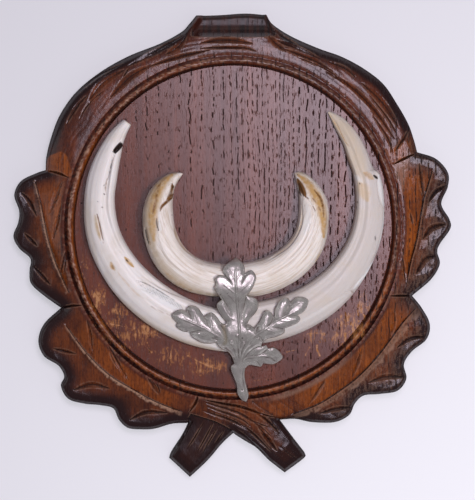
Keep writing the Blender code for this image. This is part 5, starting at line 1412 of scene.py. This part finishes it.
# ------------------------------------------------------------------------------ Studio
# A pale floor that the trophy lies on and a camera straight above it. One large cool light over the
# crown lights both; four more light only the trophy, and one wide light brightens only the floor.

CAMERA_PLACE = (0.002635, -0.014136, 1.5)
CAMERA_LENS = 172.45
FLOOR_SIDE = 6.0
FLOOR_GAP = 0.0002
MIDDLE = (0.0, 0.0, 0.0)
# Each light: where it is, the point it faces, its width and height, its watts and its colour.
LIGHTS = {
    "overhead_light": ((0.17, 0.30, 1.7), (0.17, 0.30, 0.0), (0.52, 0.70), 7.3, (0.91, 0.80, 0.95)),
    "left_light": ((-1.1, 0.1, 0.8), MIDDLE, (0.6, 0.9), 1.0, (0.96, 0.96, 1.0)),
    "fill_light": ((0.5, -0.5, 1.35), MIDDLE, (0.7, 0.7), 8.5, (0.99, 0.98, 1.0)),
    "right_light": ((0.5, -0.05, 1.15), MIDDLE, (0.10, 0.10), 6.0, (0.99, 0.97, 0.98)),
    "crown_light": ((0.1, 1.2, 0.8), MIDDLE, (0.9, 0.5), 0.4, (1.0, 0.97, 0.97)),
    "floor_light": ((0.5, -0.55, 0.97), MIDDLE, (1.0, 1.0), 14.7, (0.96, 0.95, 1.0))}
OVERHEAD_TURN = math.radians(28)
ROOM_LIGHT, ROOM_STRENGTH = (0.86, 0.86, 0.95, 1.0), 0.14

floor_mesh = bmesh.new()
bmesh.ops.create_grid(floor_mesh, x_segments=1, y_segments=1, size=FLOOR_SIDE / 2)
floor_data = bpy.data.meshes.new("floor")
floor_mesh.to_mesh(floor_data)
floor_mesh.free()
floor = bpy.data.objects.new("floor", floor_data)
floor.location.z = -FLOOR_GAP
bpy.context.scene.collection.objects.link(floor)
paper, paper_tree, paper_shader = new_material("white paper")
paper_looks = {"Base Color": (0.82, 0.82, 0.84, 1.0), "Roughness": 0.9, "Specular IOR Level": 0.1}
connect(paper_tree, paper_shader, paper_looks)
floor_data.materials.append(paper)


def softbox(name, place, aim, size, power, colour):
    """A rectangular light that faces a point."""
    data = bpy.data.lights.new(name, "AREA")
    data.shape = "RECTANGLE"
    data.size, data.size_y = size
    data.energy = power
    data.color = colour
    lamp = bpy.data.objects.new(name, data)
    lamp.location = place
    run = Vector(aim) - Vector(place)
    lamp.rotation_euler = run.to_track_quat("-Z", "Y").to_euler()
    bpy.context.scene.collection.objects.link(lamp)
    return lamp


lamps = {name: softbox(name, *values) for name, values in LIGHTS.items()}
lamps["overhead_light"].rotation_euler.z = OVERHEAD_TURN
for name in ("fill_light", "right_light"):
    lamps[name].visible_glossy = False
trophy, ground = bpy.data.collections.new("trophy"), bpy.data.collections.new("ground")
for name in ("carved_oak_shield", "left_lower_canine", "right_lower_canine", "left_upper_canine",
             "right_upper_canine", "cast_oak_leaf_spray"):
    trophy.objects.link(bpy.data.objects[name])
ground.objects.link(floor)
for name in ("left_light", "fill_light", "right_light", "crown_light"):
    lamps[name].light_linking.receiver_collection = trophy
lamps["floor_light"].light_linking.receiver_collection = ground
lamps["floor_light"].light_linking.blocker_collection = ground
world = bpy.data.worlds.new("studio")
world.use_nodes = True
room = {"Color": ROOM_LIGHT, "Strength": ROOM_STRENGTH}
connect(world.node_tree, world.node_tree.nodes["Background"], room)
bpy.context.scene.world = world
bpy.context.scene.view_settings.view_transform = "Standard"

camera_data = bpy.data.cameras.new("camera")
camera_data.lens = CAMERA_LENS
camera = bpy.data.objects.new("camera", camera_data)
camera.location = CAMERA_PLACE
bpy.context.scene.collection.objects.link(camera)
bpy.context.scene.camera = camera
